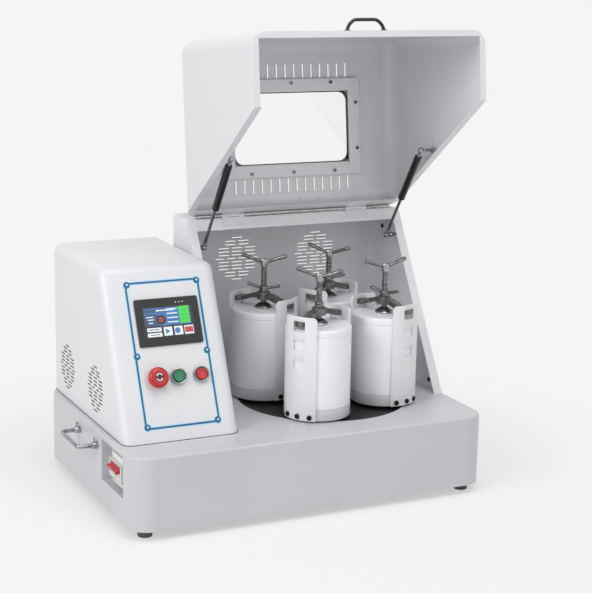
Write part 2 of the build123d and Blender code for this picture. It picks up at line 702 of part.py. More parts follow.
BELT_Z = PULLEY_Z + PULLEY_RIM + LOOSE_GAP
BELT_WIDTH = PULLEY_WIDTH - 2 * (PULLEY_RIM + LOOSE_GAP)
with BuildPart() as drive_belt:
    for growth, mode in ((BELT_THICK, Mode.ADD), (0, Mode.SUBTRACT)):
        with BuildSketch(Plane.XY.offset(BELT_Z)):
            with Locations((TABLE_X, TABLE_Y)):
                Circle(PULLEY_DRIVEN_RADIUS + LOOSE_GAP + growth)
            with Locations((MOTOR_X, MOTOR_Y)):
                Circle(PULLEY_MOTOR_RADIUS + LOOSE_GAP + growth)
            make_hull()
        extrude(amount=BELT_WIDTH, mode=mode)
drive_belt.part.label = "drive_belt"
export_step(drive_belt.part, "parts/drive_belt.step")

MOTOR_COVER = 40.0
MOTOR_COVER_RADIUS = 70.0
MOTOR_COVER_EDGE = 8.0
TERMINAL_BOX = 60.0
TERMINAL_BOX_LIFT = 50.0
with BuildPart() as motor:
    with BuildSketch(Plane.XY.offset(DRIVE_TOP)):
        with Locations((MOTOR_X, MOTOR_Y)):
            Circle(MOTOR_RADIUS)
    extrude(amount=MOTOR_HEIGHT - MOTOR_COVER)
    with BuildSketch(Plane.XY.offset(DRIVE_TOP + MOTOR_HEIGHT - MOTOR_COVER)):
        with Locations((MOTOR_X, MOTOR_Y)):
            Circle(MOTOR_COVER_RADIUS)
    extrude(amount=MOTOR_COVER)
    fillet(motor.edges().group_by(Axis.Z)[-1], MOTOR_COVER_EDGE)
    with BuildSketch(Plane.XY.offset(BASE_TOP + TERMINAL_BOX_LIFT)):
        with Locations((MOTOR_X, MOTOR_Y + MOTOR_RADIUS)):
            Rectangle(TERMINAL_BOX, TERMINAL_BOX / 2)
    extrude(amount=TERMINAL_BOX)
    with BuildSketch(Plane.XY.offset(DRIVE_TOP)):
        with Locations((MOTOR_X, MOTOR_Y)):
            Circle(MOTOR_SHAFT + RUN_GAP)
    extrude(amount=SHAFT_IN_MOTOR + LOOSE_GAP, mode=Mode.SUBTRACT)
motor.part.label = "motor"
export_step(motor.part, "parts/motor.step")

INVERTER_CORNER = 4.0
with BuildPart() as inverter:
    with BuildSketch(Plane.XY.offset(BASE_TOP)):
        with Locations((INVERTER_X, INVERTER_Y)):
            RectangleRounded(INVERTER_WIDTH, INVERTER_DEPTH, INVERTER_CORNER)
    extrude(amount=INVERTER_HEIGHT)
inverter.part.label = "inverter"
export_step(inverter.part, "parts/inverter.step")

# --- Turntable with a ball bearing under each jar station --------------------------------------
PLANET_BEARING_Z = TABLE_TOP - PLANET_BEARING_WIDTH
with BuildPart() as turntable:
    with BuildSketch(Plane.XY.offset(TABLE_UNDER)):
        with Locations((TABLE_X, TABLE_Y)):
            Circle(TABLE_RADIUS)
            Circle(SPINDLE_RADIUS + SEAM_GAP, mode=Mode.SUBTRACT)
    extrude(amount=TABLE_THICK)
    chamfer(turntable.edges().group_by(Axis.Z)[-1].sort_by(SortBy.LENGTH)[-1], TABLE_EDGE)
    with BuildSketch(Plane.XY.offset(TABLE_UNDER - BOSS_DEPTH)):
        with Locations(*[station_centre(i) for i in range(STATION_COUNT)]):
            Circle(BOSS_RADIUS)
    extrude(amount=BOSS_DEPTH)
    with BuildSketch(Plane.XY.offset(PLANET_BEARING_Z - RUN_GAP)):
        with Locations(*[station_centre(i) for i in range(STATION_COUNT)]):
            Circle(PLANET_BEARING_RADIUS + RUN_GAP)
    extrude(amount=PLANET_BEARING_WIDTH + RUN_GAP, mode=Mode.SUBTRACT)
    with BuildSketch(Plane.XY.offset(TABLE_UNDER - BOSS_DEPTH)):
        with Locations(*[station_centre(i) for i in range(STATION_COUNT)]):
            Circle(PLANET_BEARING_RADIUS - BEARING_LIP)
    extrude(amount=BOSS_DEPTH, mode=Mode.SUBTRACT)
    with BuildSketch(Plane.XY.offset(PLANET_BEARING_Z)):
        with Locations(*[station_centre(i) for i in range(STATION_COUNT)]):
            Circle(PLANET_BEARING_RADIUS)
            Circle(PLANET_SHAFT, mode=Mode.SUBTRACT)
    extrude(amount=PLANET_BEARING_WIDTH)
turntable.part.label = "turntable"
export_step(turntable.part, "parts/turntable.step")


def plate_headings(index: int) -> tuple[float, float]:
    """Headings of the two plates of a station, on opposite sides of the jar."""
    return (CLAMP_HEADINGS[index], CLAMP_HEADINGS[index] + 180)


def screw_headings(plate_heading: float) -> list[float]:
    """Headings of the three screws in a plate's foot."""
    return [plate_heading + step * PLATE_SCREW_STEP for step in (-1, 0, 1)]


def screw_plane(index: int, heading: float) -> Plane:
    """Plane under a plate screw's head, facing out of the plate."""
    centre_x, centre_y = station_centre(index)
    out_x, out_y = polar(PLATE_OUTER + RUN_GAP, heading)
    origin = (centre_x + out_x, centre_y + out_y, PLATE_SCREW_Z)
    return Plane(origin=origin, x_dir=(0, 0, 1), z_dir=(*polar(1, heading), 0))


def clamp_plate(index: int, heading: float) -> BuildPart:
    """Curved plate beside the jar, with slots for the clamp bar and screw holes."""
    centre = station_centre(index)
    with BuildPart() as plate:
        with BuildSketch(flat_plane(centre, SEAT_Z, heading)):
            with BuildLine():
                outer = CenterArc((0, 0), PLATE_OUTER, -PLATE_HALF_ANGLE, 2 * PLATE_HALF_ANGLE)
                inner = CenterArc((0, 0), PLATE_INNER, -PLATE_HALF_ANGLE, 2 * PLATE_HALF_ANGLE)
                Line(outer @ 0, inner @ 0)
                Line(outer @ 1, inner @ 1)
            make_face()
        extrude(amount=PLATE_TOP - SEAT_Z)
        fillet(plate.edges().group_by(Axis.Z)[-1].sort_by(SortBy.LENGTH)[:2], PLATE_CORNER)
        face = Plane(
            origin=(*centre, 0), x_dir=(*polar(1, heading + 90), 0), z_dir=(*polar(1, heading), 0)
        )
        with BuildSketch(face.offset(PLATE_INNER / 2)):
            for slot in range(PLATE_SLOT_COUNT):
                with Locations((0, PLATE_SLOT_TOP - PLATE_SLOT_HEIGHT / 2 - slot * PLATE_SLOT_PITCH)):
                    Rectangle(PLATE_SLOT_WIDTH, PLATE_SLOT_HEIGHT)
        extrude(amount=PLATE_INNER, mode=Mode.SUBTRACT)
        with BuildSketch(*[screw_plane(index, h) for h in screw_headings(heading)]):
            Circle(SCREW_SHANK + SEAM_GAP)
        extrude(amount=-SCREW_LENGTH, mode=Mode.SUBTRACT)
    return plate


def plate_screw(index: int, heading: float) -> BuildPart:
    """Socket head screw that holds a plate to the seat."""
    with BuildPart() as screw:
        with BuildSketch(screw_plane(index, heading)):
            Circle(SCREW_HEAD_RADIUS)
        extrude(amount=SCREW_HEAD_HEIGHT)
        with BuildSketch(screw_plane(index, heading)):
            Circle(SCREW_SHANK)
        extrude(amount=-SCREW_LENGTH)
        with BuildSketch(screw_plane(index, heading).offset(SCREW_HEAD_HEIGHT)):
            RegularPolygon(SCREW_SHANK, 6)
        extrude(amount=-SCREW_HEAD_HEIGHT / 2, mode=Mode.SUBTRACT)
    return screw


def seat_and_shaft(index: int) -> BuildPart:
    """Seat with its jar recess and screw holes, on the shaft that runs in the turntable."""
    centre = station_centre(index)
    with BuildPart() as seat:
        with BuildSketch(flat_plane(centre, SEAT_Z)):
            Circle(SEAT_RADIUS)
        extrude(amount=SEAT_HEIGHT)
        with BuildSketch(flat_plane(centre, JAR_Z - SEAT_RECESS)):
            Circle(SEAT_RECESS_RADIUS)
        extrude(amount=SEAT_RECESS, mode=Mode.SUBTRACT)
        with BuildSketch(flat_plane(centre, TABLE_TOP + LOOSE_GAP)):
            Circle(SEAT_NECK)
        extrude(amount=SEAT_Z - TABLE_TOP - LOOSE_GAP)
        with BuildSketch(flat_plane(centre, GEAR_Z)):
            Circle(PLANET_SHAFT - RUN_GAP)
        extrude(amount=TABLE_TOP + LOOSE_GAP - GEAR_Z)
        with BuildSketch(flat_plane(centre, GEAR_TOP + RUN_GAP)):
            Circle(SHAFT_SHOULDER)
        extrude(amount=PLANET_BEARING_Z - LOOSE_GAP - GEAR_TOP - RUN_GAP)
        for heading in plate_headings(index):
            with BuildSketch(*[screw_plane(index, h) for h in screw_headings(heading)]):
                Circle(SCREW_SHANK + SEAM_GAP)
            extrude(amount=-SCREW_LENGTH - SEAM_GAP, mode=Mode.SUBTRACT)
    return seat


def planet_gear(index: int) -> BuildPart:
    """Planet gear on the foot of the station's shaft."""
    with BuildPart() as gear:
        with BuildSketch(flat_plane(station_centre(index), GEAR_Z)):
            Polygon(*gear_outline(PLANET_TEETH, planet_tooth_heading(index)), align=None)
            Circle(PLANET_SHAFT, mode=Mode.SUBTRACT)
        extrude(amount=GEAR_WIDTH)
    return gear


def jar_holder(index: int) -> Compound:
    """Seat on its shaft, planet gear, two curved slotted plates and their six screws."""
    pieces = [seat_and_shaft(index), planet_gear(index)]
    for heading in plate_headings(index):
        pieces.append(clamp_plate(index, heading))
        pieces += [plate_screw(index, h) for h in screw_headings(heading)]
    return Compound([solid for piece in pieces for solid in piece.part.solids()])


def crossbar(index: int) -> Part:
    """Arched clamp bar whose ends sit under the top edges of the plate slots."""
    centre = station_centre(index)
    heading = CLAMP_HEADINGS[index]
    reach = PLATE_OUTER + BAR_OVERHANG
    top = PLATE_SLOT_TOP
    outline = [
        (-reach, top - BAR_THICK),
        (-BAR_SHOULDER, top - BAR_THICK),
        (-BAR_CROWN, top - BAR_THICK + BAR_RISE),
        (BAR_CROWN, top - BAR_THICK + BAR_RISE),
        (BAR_SHOULDER, top - BAR_THICK),
        (reach, top - BAR_THICK),
        (reach, top),
        (BAR_SHOULDER, top),
        (BAR_CROWN, top + BAR_RISE),
        (-BAR_CROWN, top + BAR_RISE),
        (-BAR_SHOULDER, top),
        (-reach, top),
    ]
    with BuildPart() as bar:
        with BuildSketch(upright_plane(centre, heading)):
            Polygon(*outline, align=None)
        extrude(amount=BAR_WIDTH / 2, both=True)
        with BuildSketch(flat_plane(centre, top - BAR_THICK, heading)):
            Rectangle(2 * BAR_SHOULDER, BAR_WAIST)
            with Locations((-reach + BAR_WIDTH / 2, 0), (reach - BAR_WIDTH / 2, 0)):
                Circle(BAR_WIDTH / 2)
        extrude(amount=BAR_THICK + BAR_RISE, mode=Mode.INTERSECT)
        with BuildSketch(flat_plane(centre, PRESSER_TOP + PRESSER_TRAVEL + LOOSE_GAP)):
            Circle(BAR_BOSS_RADIUS)
        extrude(amount=BAR_BOSS_TOP - PRESSER_TOP - PRESSER_TRAVEL - LOOSE_GAP)
        with BuildSketch(flat_plane(centre, BAR_BOSS_TOP)):
            Circle(CLAMP_RADIUS + RUN_GAP)
        extrude(amount=PRESSER_TOP - BAR_BOSS_TOP, mode=Mode.SUBTRACT)
    return bar.part


def presser_foot(index: int) -> Part:
    """Domed foot that presses on the jar cap, with a socket for the screw tip."""
    with BuildPart() as foot:
        with BuildSketch(upright_plane(station_centre(index), 0)):
            with BuildLine():
                Polyline(
                    (0, CAP_TOP),
                    (PRESSER_RADIUS, CAP_TOP),
                    (PRESSER_RADIUS, CAP_TOP + PRESSER_BRIM),
                    (PRESSER_CROWN, PRESSER_TOP),
                    (CLAMP_TIP + SEAM_GAP, PRESSER_TOP),
                    (CLAMP_TIP + SEAM_GAP, PRESSER_TOP - SOCKET_DEPTH),
                    (0, PRESSER_TOP - SOCKET_DEPTH),
                    close=True,
                )
            make_face()
        revolve(axis=Axis((*station_centre(index), 0), (0, 0, 1)))
    return foot.part


def vee_arms(
    centre: tuple[float, float], z: float, heading: float, reach: float, radius: float, rise: float
) -> BuildPart:
    """Two rounded arms that rise from a hub on opposite sides."""
    with BuildPart() as arms:
        for side in (0, 180):
            out_x, out_y = polar(cos(radians(rise)), heading + side)
            direction = (out_x, out_y, sin(radians(rise)))
            with BuildSketch(Plane(origin=(*centre, z), z_dir=direction)):
                Circle(radius)
            extrude(amount=reach - radius)
            tip = Vector(*centre, z) + Vector(*direction) * (reach - radius)
            with Locations(tip):
                Sphere(radius)
    return arms


def clamp_screw(index: int) -> Part:
    """Clamp screw with its tommy handle and the tip that turns in the presser foot."""
    centre = station_centre(index)
    arm_z = CLAMP_HUB_Z + CLAMP_HUB_HEIGHT / 2
    arms = vee_arms(centre, arm_z, HANDLE_HEADINGS[index], CLAMP_ARM, CLAMP_ARM_RADIUS, CLAMP_ARM_RISE)
    with BuildPart() as screw:
        with BuildSketch(flat_plane(centre, PRESSER_TOP - SOCKET_DEPTH + LOOSE_GAP)):
            Circle(CLAMP_TIP)
        extrude(amount=SOCKET_DEPTH)
        with BuildSketch(flat_plane(centre, PRESSER_TOP + LOOSE_GAP)):
            Circle(CLAMP_RADIUS)
        extrude(amount=CLAMP_HUB_Z - PRESSER_TOP - LOOSE_GAP)
        with BuildSketch(flat_plane(centre, CLAMP_HUB_Z)):
            Circle(CLAMP_HUB_RADIUS)
        extrude(amount=CLAMP_HUB_HEIGHT)
        add(arms.part)
        with BuildSketch(flat_plane(centre, CLAMP_HUB_Z + CLAMP_HUB_HEIGHT)):
            Circle(HUB_HOLE)
        extrude(amount=-HUB_HOLE_DEPTH, mode=Mode.SUBTRACT)
    return screw.part


def lock_nut(index: int) -> Part:
    """Winged nut that locks the clamp screw against the bar."""
    centre = station_centre(index)
    arm_z = BAR_BOSS_TOP + NUT_HEIGHT / 2
    arms = vee_arms(centre, arm_z, NUT_HEADINGS[index], NUT_ARM, NUT_ARM_RADIUS, NUT_ARM_RISE)
    with BuildPart() as nut:
        with BuildSketch(flat_plane(centre, BAR_BOSS_TOP)):
            Circle(NUT_RADIUS)
        extrude(amount=NUT_HEIGHT)
        add(arms.part)
        with BuildSketch(flat_plane(centre, BAR_BOSS_TOP)):
            Circle(CLAMP_RADIUS + RUN_GAP)
        extrude(amount=2 * NUT_HEIGHT, mode=Mode.SUBTRACT)
    return nut.part


def jar(index: int) -> Part:
    """Grinding jar: open pot whose foot drops into the seat recess."""
    centre = station_centre(index)
    with BuildPart() as pot:
        with BuildSketch(flat_plane(centre, JAR_Z)):
            Circle(JAR_RADIUS)
        extrude(amount=JAR_HEIGHT)
        with BuildSketch(flat_plane(centre, JAR_Z - SEAT_RECESS + LOOSE_GAP)):
            Circle(SEAT_RECESS_RADIUS - LOOSE_GAP)
        extrude(amount=SEAT_RECESS - LOOSE_GAP)
        with BuildSketch(flat_plane(centre, JAR_Z + JAR_FLOOR)):
            Circle(JAR_RADIUS - JAR_WALL)
        extrude(amount=JAR_HEIGHT - JAR_FLOOR, mode=Mode.SUBTRACT)
    return pot.part


def jar_lid(index: int) -> Part:
    """Jar cap with a plug that drops into the pot."""
    centre = station_centre(index)
    with BuildPart() as cap:
        with BuildSketch(flat_plane(centre, JAR_TOP)):
            Circle(JAR_RADIUS)
        extrude(amount=JAR_CAP)
        fillet(cap.edges().group_by(Axis.Z)[-1], CAP_EDGE)
        with BuildSketch(flat_plane(centre, JAR_TOP - CAP_PLUG)):
            Circle(JAR_RADIUS - JAR_WALL - LOOSE_GAP)
        extrude(amount=CAP_PLUG)
    return cap.part


STATION_PIECES = {
    "jar_holder": jar_holder,
    "crossbar": crossbar,
    "presser_foot": presser_foot,
    "clamp_screw": clamp_screw,
    "lock_nut": lock_nut,
    "jar": jar,
    "jar_lid": jar_lid,
}
for station in range(STATION_COUNT):
    for name, make in STATION_PIECES.items():
        piece = make(station)
        piece.label = f"{name}_{station + 1}"
        export_step(piece, f"parts/{piece.label}.step")

# --- Control box ------------------------------------------------------------------------------
BOX_LEAN = degrees(atan2(BOX_FRONT_HEAD - BOX_FRONT_FOOT, BOX_TOP - BASE_TOP))
BOX_OUT = (0, -cos(radians(BOX_LEAN)), sin(radians(BOX_LEAN)))
PANEL_PLANE = Plane(origin=(0, BOX_FRONT_FOOT, BASE_TOP), x_dir=(1, 0, 0), z_dir=BOX_OUT)


def box_block(inset: float, floor: float) -> BuildPart:
    """Leaning control box block with rounded edges, shrunk by a wall."""
    lean_inset = inset / cos(radians(BOX_LEAN))
    foot_y = BOX_FRONT_FOOT + lean_inset - (BASE_TOP - floor) * tan(radians(BOX_LEAN))
    head_y = BOX_FRONT_HEAD + lean_inset - inset * tan(radians(BOX_LEAN))
    with BuildPart() as block:
        with BuildSketch(Plane.YZ.offset(BOX_LEFT + inset)):
            Polygon(
                (foot_y, floor),
                (BOX_BACK - inset, floor),
                (BOX_BACK - inset, BOX_TOP - inset),
                (head_y, BOX_TOP - inset),
                align=None,
            )
        extrude(amount=BOX_RIGHT - BOX_LEFT - 2 * inset)
        rounded = block.edges().filter_by(lambda edge: edge.center().Z > floor + OVERCUT)
        fillet(rounded, BOX_CORNER - inset)
    return block


box_cavity = box_block(BOX_SHEET, BASE_TOP - OVERCUT)
box_outer = box_block(0, BASE_TOP)
CUTOUT_WIDTH = PANEL_WIDTH - 2 * PANEL_LAP
CUTOUT_HEIGHT = PANEL_HEIGHT - 2 * PANEL_LAP
with BuildPart() as control_box_shell:
    add(box_outer.part)
    add(box_cavity.part, mode=Mode.SUBTRACT)
    with BuildSketch(PANEL_PLANE.offset(OVERCUT)):
        with Locations((PANEL_X, PANEL_S)):
            Rectangle(CUTOUT_WIDTH, CUTOUT_HEIGHT)
        with Locations((ESTOP_X, BUTTON_S), (START_X, BUTTON_S), (STOP_X, BUTTON_S)):
            Circle(BUTTON_HOLE)
    extrude(amount=-BOX_SHEET - 2 * OVERCUT, mode=Mode.SUBTRACT)
    with BuildSketch(Plane.YZ.offset(BOX_LEFT)):
        for vent_y in SIDE_VENT_Y:
            for across, up, length in vent_slots(SIDE_VENT_RADIUS):
                with Locations((vent_y + across, SIDE_VENT_Z + up)):
                    SlotOverall(length, LOUVRE_WIDTH)
    extrude(amount=BOX_SHEET, mode=Mode.SUBTRACT)
control_box_shell.part.label = "control_box_shell"
export_step(control_box_shell.part, "parts/control_box_shell.step")

with BuildPart() as touch_panel:
    with BuildSketch(PANEL_PLANE):
        with Locations((PANEL_X, PANEL_S)):
            RectangleRounded(PANEL_WIDTH, PANEL_HEIGHT, PANEL_CORNER)
    extrude(amount=PANEL_PROUD)
    chamfer(touch_panel.faces().sort_by(Axis.Y)[0].edges(), PANEL_EDGE)
    with BuildSketch(PANEL_PLANE):
        with Locations((PANEL_X, PANEL_S)):
            Rectangle(CUTOUT_WIDTH - 2 * LOOSE_GAP, CUTOUT_HEIGHT - 2 * LOOSE_GAP)
    extrude(amount=-PANEL_BEHIND)
    with BuildSketch(PANEL_PLANE.offset(PANEL_PROUD)):
        with Locations((PANEL_X, PANEL_S)):
            Rectangle(SCREEN_WIDTH, SCREEN_HEIGHT)
    extrude(amount=-SCREEN_DEPTH, mode=Mode.SUBTRACT)
    with BuildSketch(PANEL_PLANE.offset(PANEL_PROUD - SCREEN_DEPTH + RUN_GAP)):
        with Locations((PANEL_X, PANEL_S)):
            Rectangle(SCREEN_WIDTH - 2 * SEAM_GAP, SCREEN_HEIGHT - 2 * SEAM_GAP)
    extrude(amount=SCREEN_DEPTH - 2 * RUN_GAP)
touch_panel.part.label = "touch_panel"
export_step(touch_panel.part, "parts/touch_panel.step")

# Collars, threaded barrels and contact blocks of the three push buttons.
BARREL_DEPTH = 20.0
STEM_ROOM = BUTTON_TRAVEL + ESTOP_TRAVEL
with BuildPart() as button_collars:
    for button_x in (ESTOP_X, START_X, STOP_X):
        with BuildSketch(PANEL_PLANE):
            with Locations((button_x, BUTTON_S)):
                Circle(COLLAR_RADIUS)
        extrude(amount=COLLAR_HEIGHT)
        with BuildSketch(PANEL_PLANE):
            with Locations((button_x, BUTTON_S)):
                Circle(BUTTON_HOLE - SEAM_GAP)
        extrude(amount=-BARREL_DEPTH)
        with BuildSketch(PANEL_PLANE.offset(-BARREL_DEPTH)):
            with Locations((button_x, BUTTON_S)):
                Rectangle(BLOCK_SIDE, BLOCK_SIDE)
        extrude(amount=-BLOCK_DEPTH)
        with BuildSketch(PANEL_PLANE.offset(COLLAR_HEIGHT)):
            with Locations((button_x, BUTTON_S)):
                Circle(STEM_RADIUS + RUN_GAP)
        extrude(amount=-COLLAR_HEIGHT - BARREL_DEPTH, mode=Mode.SUBTRACT)
    with BuildSketch(PANEL_PLANE.offset(COLLAR_HEIGHT)):
        with Locations((START_X, BUTTON_S), (STOP_X, BUTTON_S)):
            Circle(COLLAR_BORE)
    extrude(amount=-COLLAR_HEIGHT, mode=Mode.SUBTRACT)
button_collars.part.label = "button_collars"
export_step(button_collars.part, "parts/button_collars.step")


def push_button(button_x: float) -> BuildPart:
    """Flat button cap on a stem that slides in the collar."""
    with BuildPart() as button:
        with BuildSketch(PANEL_PLANE.offset(BUTTON_TRAVEL + LOOSE_GAP)):
            with Locations((button_x, BUTTON_S)):
                Circle(COLLAR_BORE - LOOSE_GAP)
        extrude(amount=CAP_HEIGHT - BUTTON_TRAVEL - LOOSE_GAP)
        with BuildSketch(PANEL_PLANE.offset(BUTTON_TRAVEL + LOOSE_GAP)):
            with Locations((button_x, BUTTON_S)):
                Circle(STEM_RADIUS)
        extrude(amount=-BUTTON_TRAVEL - BARREL_DEPTH + STEM_ROOM)
    return button


start_button = push_button(START_X)
start_button.part.label = "start_button"
export_step(start_button.part, "parts/start_button.step")

stop_button = push_button(STOP_X)
stop_button.part.label = "stop_button"
export_step(stop_button.part, "parts/stop_button.step")

with BuildPart() as estop_button:
    with BuildSketch(PANEL_PLANE.offset(ESTOP_HEIGHT - ESTOP_CAP)):
        with Locations((ESTOP_X, BUTTON_S)):
            Circle(ESTOP_RADIUS)
    extrude(amount=ESTOP_CAP)
    fillet(estop_button.faces().sort_by(Axis.Y)[0].edges(), ESTOP_EDGE)
    with BuildSketch(PANEL_PLANE.offset(ESTOP_HEIGHT - ESTOP_CAP)):
        with Locations((ESTOP_X, BUTTON_S)):
            Circle(STEM_RADIUS)
    extrude(amount=-ESTOP_HEIGHT + ESTOP_CAP - BARREL_DEPTH + STEM_ROOM)
estop_button.part.label = "estop_button"
export_step(estop_button.part, "parts/estop_button.step")

# --- Rear housing -----------------------------------------------------------------------------
HOUSING_PLANE = Plane(
    origin=(0, HOUSING_FOOT_Y, BASE_TOP), x_dir=(1, 0, 0), z_dir=(0, -LEAN_COS, LEAN_SIN)
)


def housing_block(inset: float, floor: float) -> BuildPart:
    """Rear housing block with rounded back corners, shrunk by a wall."""
    top = HOUSING_TOP - inset
    back = HOUSING_BACK - inset
    lean_inset = inset / LEAN_COS
    with BuildPart() as block:
        with BuildSketch(Plane.YZ.offset(HOOD_LEFT + inset)):
            Polygon(
                (housing_front(floor) + lean_inset, floor),
                (back, floor),
                (back, top),
                (housing_front(top) + lean_inset, top),
                align=None,
            )
        extrude(amount=HOOD_RIGHT - HOOD_LEFT - 2 * inset)
        upright = block.edges().filter_by(Axis.Z).filter_by(lambda edge: edge.center().Y > back - OVERCUT)
        fillet(upright, HOUSING_CORNER - inset)
        rim = block.faces().sort_by(Axis.Z)[-1].edges()
        front_line = housing_front(top) + lean_inset + OVERCUT
        fillet(rim.filter_by(lambda edge: edge.center().Y > front_line), HOUSING_EDGE - inset)
    return block


housing_cavity = housing_block(HOUSING_SHEET, BASE_TOP - OVERCUT)
housing_outer = housing_block(0, BASE_TOP)
HOUSING_SLOPE = (HOUSING_TOP - BASE_TOP) / LEAN_COS
MOUTH_BELOW = 10.0
MOUTH_HEIGHT = HOUSING_SLOPE - FLANGE_TOP + 2 * MOUTH_BELOW
with BuildPart() as rear_housing:
    add(housing_outer.part)
    add(housing_cavity.part, mode=Mode.SUBTRACT)
    with BuildSketch(HOUSING_PLANE.offset(OVERCUT)):
        with Locations((HOOD_MIDDLE, HOUSING_SLOPE - FLANGE_TOP - MOUTH_HEIGHT / 2)):
            Rectangle(HOOD_RIGHT - HOOD_LEFT - 2 * FLANGE_SIDE, MOUTH_HEIGHT)
    extrude(amount=-HOUSING_SHEET - 2 * OVERCUT, mode=Mode.SUBTRACT)
    with BuildSketch(Plane.XZ.offset(-HOUSING_BACK)):
        for side in (-1, 1):
            for across, up, length in vent_slots(REAR_VENT_RADIUS):
                with Locations((HOOD_MIDDLE + side * REAR_VENT_SPREAD + across, REAR_VENT_Z + up)):
                    SlotOverall(length, LOUVRE_WIDTH)
    extrude(amount=HOUSING_SHEET, mode=Mode.SUBTRACT)
rear_housing.part.label = "rear_housing"
export_step(rear_housing.part, "parts/rear_housing.step")

# --- Hood, drawn closed and carried to its open place -------------------------------------------
HOOD_PLANE = on_lid(HOUSING_PLANE.offset(LID_GAP))


def hood_block(inset: float, foot: float, lean_inset: float) -> BuildPart:
    """Hood block with rounded front and top edges, shrunk by a wall."""
    top = LID_TOP - inset
    front = LID_FRONT + inset
    with BuildPart() as block:
        with BuildSketch(on_lid(Plane.YZ.offset(HOOD_LEFT + inset))):
            Polygon(
                (front, foot),
                (hood_rear(foot) - lean_inset, foot),
                (hood_rear(top) - lean_inset, top),
                (front, top),
                align=None,
            )
        extrude(amount=HOOD_RIGHT - HOOD_LEFT - 2 * inset)
        rounded = []
        for edge in block.edges():
            middle = as_closed(edge.center())
            if middle.Z > foot + OVERCUT and middle.Y < hood_rear(middle.Z) - lean_inset - OVERCUT:
                rounded.append(edge)
        fillet(rounded, LID_CORNER - inset)
    return block


hood_cavity = hood_block(LID_SHEET, LID_FOOT + LIP_THICK, LIP_THICK / LEAN_COS)
hood_outer = hood_block(0, LID_FOOT, 0)
HOOD_WIDTH = HOOD_RIGHT - HOOD_LEFT
HOOD_SLOPE = (LID_TOP - BASE_TOP) / LEAN_COS
FOOT_OPEN = hood_rear(LID_FOOT) - LID_FRONT
with BuildPart() as lid_shell:
    add(hood_outer.part)
    add(hood_cavity.part, mode=Mode.SUBTRACT)
    with BuildSketch(HOOD_PLANE.offset(-OVERCUT)):
        with Locations((HOOD_MIDDLE, (HOOD_SLOPE - LIP_REAR) / 2)):
            Rectangle(HOOD_WIDTH - 2 * LIP_SIDE, HOOD_SLOPE - LIP_REAR)
    extrude(amount=LIP_THICK + 2 * OVERCUT, mode=Mode.SUBTRACT)
    with BuildSketch(on_lid(Plane.XY.offset(LID_FOOT - OVERCUT))):
        with Locations((HOOD_MIDDLE, LID_FRONT + LIP_FOOT + FOOT_OPEN / 2)):
            Rectangle(HOOD_WIDTH - 2 * LIP_FOOT, FOOT_OPEN)
    extrude(amount=LIP_THICK + 2 * OVERCUT, mode=Mode.SUBTRACT)
    with BuildSketch(on_lid(Plane.XY.offset(LID_TOP))):
        with Locations((WINDOW_X, WINDOW_Y)):
            RectangleRounded(WINDOW_WIDTH, WINDOW_HEIGHT, WINDOW_CORNER)
        for row in LID_SLOT_ROWS:
            with Locations((WINDOW_X, row)):
                with GridLocations(LID_SLOT_PITCH, 0, LID_SLOT_COUNT, 1):
                    SlotOverall(LID_SLOT_LENGTH, LID_SLOT_WIDTH, rotation=90)
    extrude(amount=-LID_SHEET, mode=Mode.SUBTRACT)
lid_shell.part.label = "lid_shell"
export_step(lid_shell.part, "parts/lid_shell.step")

PANE_WIDTH = WINDOW_WIDTH + 2 * PANE_LAP
PANE_HEIGHT = WINDOW_HEIGHT + 2 * PANE_LAP
SHEET_UNDER = LID_TOP - LID_SHEET
with BuildPart() as window_pane:
    with BuildSketch(on_lid(Plane.XY.offset(SHEET_UNDER))):
        with Locations((WINDOW_X, WINDOW_Y)):
            RectangleRounded(PANE_WIDTH, PANE_HEIGHT, WINDOW_CORNER)
    extrude(amount=-PANE_THICK)
window_pane.part.label = "window_pane"
export_step(window_pane.part, "parts/window_pane.step")

# Four mitred bars hold the pane; a flat gasket fills the rim around it.
BAR_UNDER = SHEET_UNDER - PANE_THICK - RUN_GAP
half_width = WINDOW_WIDTH / 2
half_height = WINDOW_HEIGHT / 2
with BuildPart() as window_frame:
    for quarter in range(4):
        across, along = (half_width, half_height) if quarter % 2 == 0 else (half_height, half_width)
        edge_plane = on_lid(flat_plane((WINDOW_X, WINDOW_Y), BAR_UNDER, 90 * quarter))
        with BuildSketch(edge_plane):
            Polygon(
                (across, -along),
                (across + BAR_FRAME_WIDTH, -along - BAR_FRAME_WIDTH + SEAM_GAP),
                (across + BAR_FRAME_WIDTH, along + BAR_FRAME_WIDTH - SEAM_GAP),
                (across, along - SEAM_GAP),
                align=None,
            )
        extrude(amount=-BAR_FRAME_THICK)
    with BuildSketch(on_lid(Plane.XY.offset(SHEET_UNDER))):
        with Locations((WINDOW_X, WINDOW_Y)):
            RectangleRounded(
                PANE_WIDTH + 2 * GASKET_WIDTH, PANE_HEIGHT + 2 * GASKET_WIDTH, WINDOW_CORNER
            )
            RectangleRounded(
                PANE_WIDTH + 2 * SEAM_GAP, PANE_HEIGHT + 2 * SEAM_GAP, WINDOW_CORNER, mode=Mode.SUBTRACT
            )
    extrude(amount=-PANE_THICK)
window_frame.part.label = "window_frame"
export_step(window_frame.part, "parts/window_frame.step")

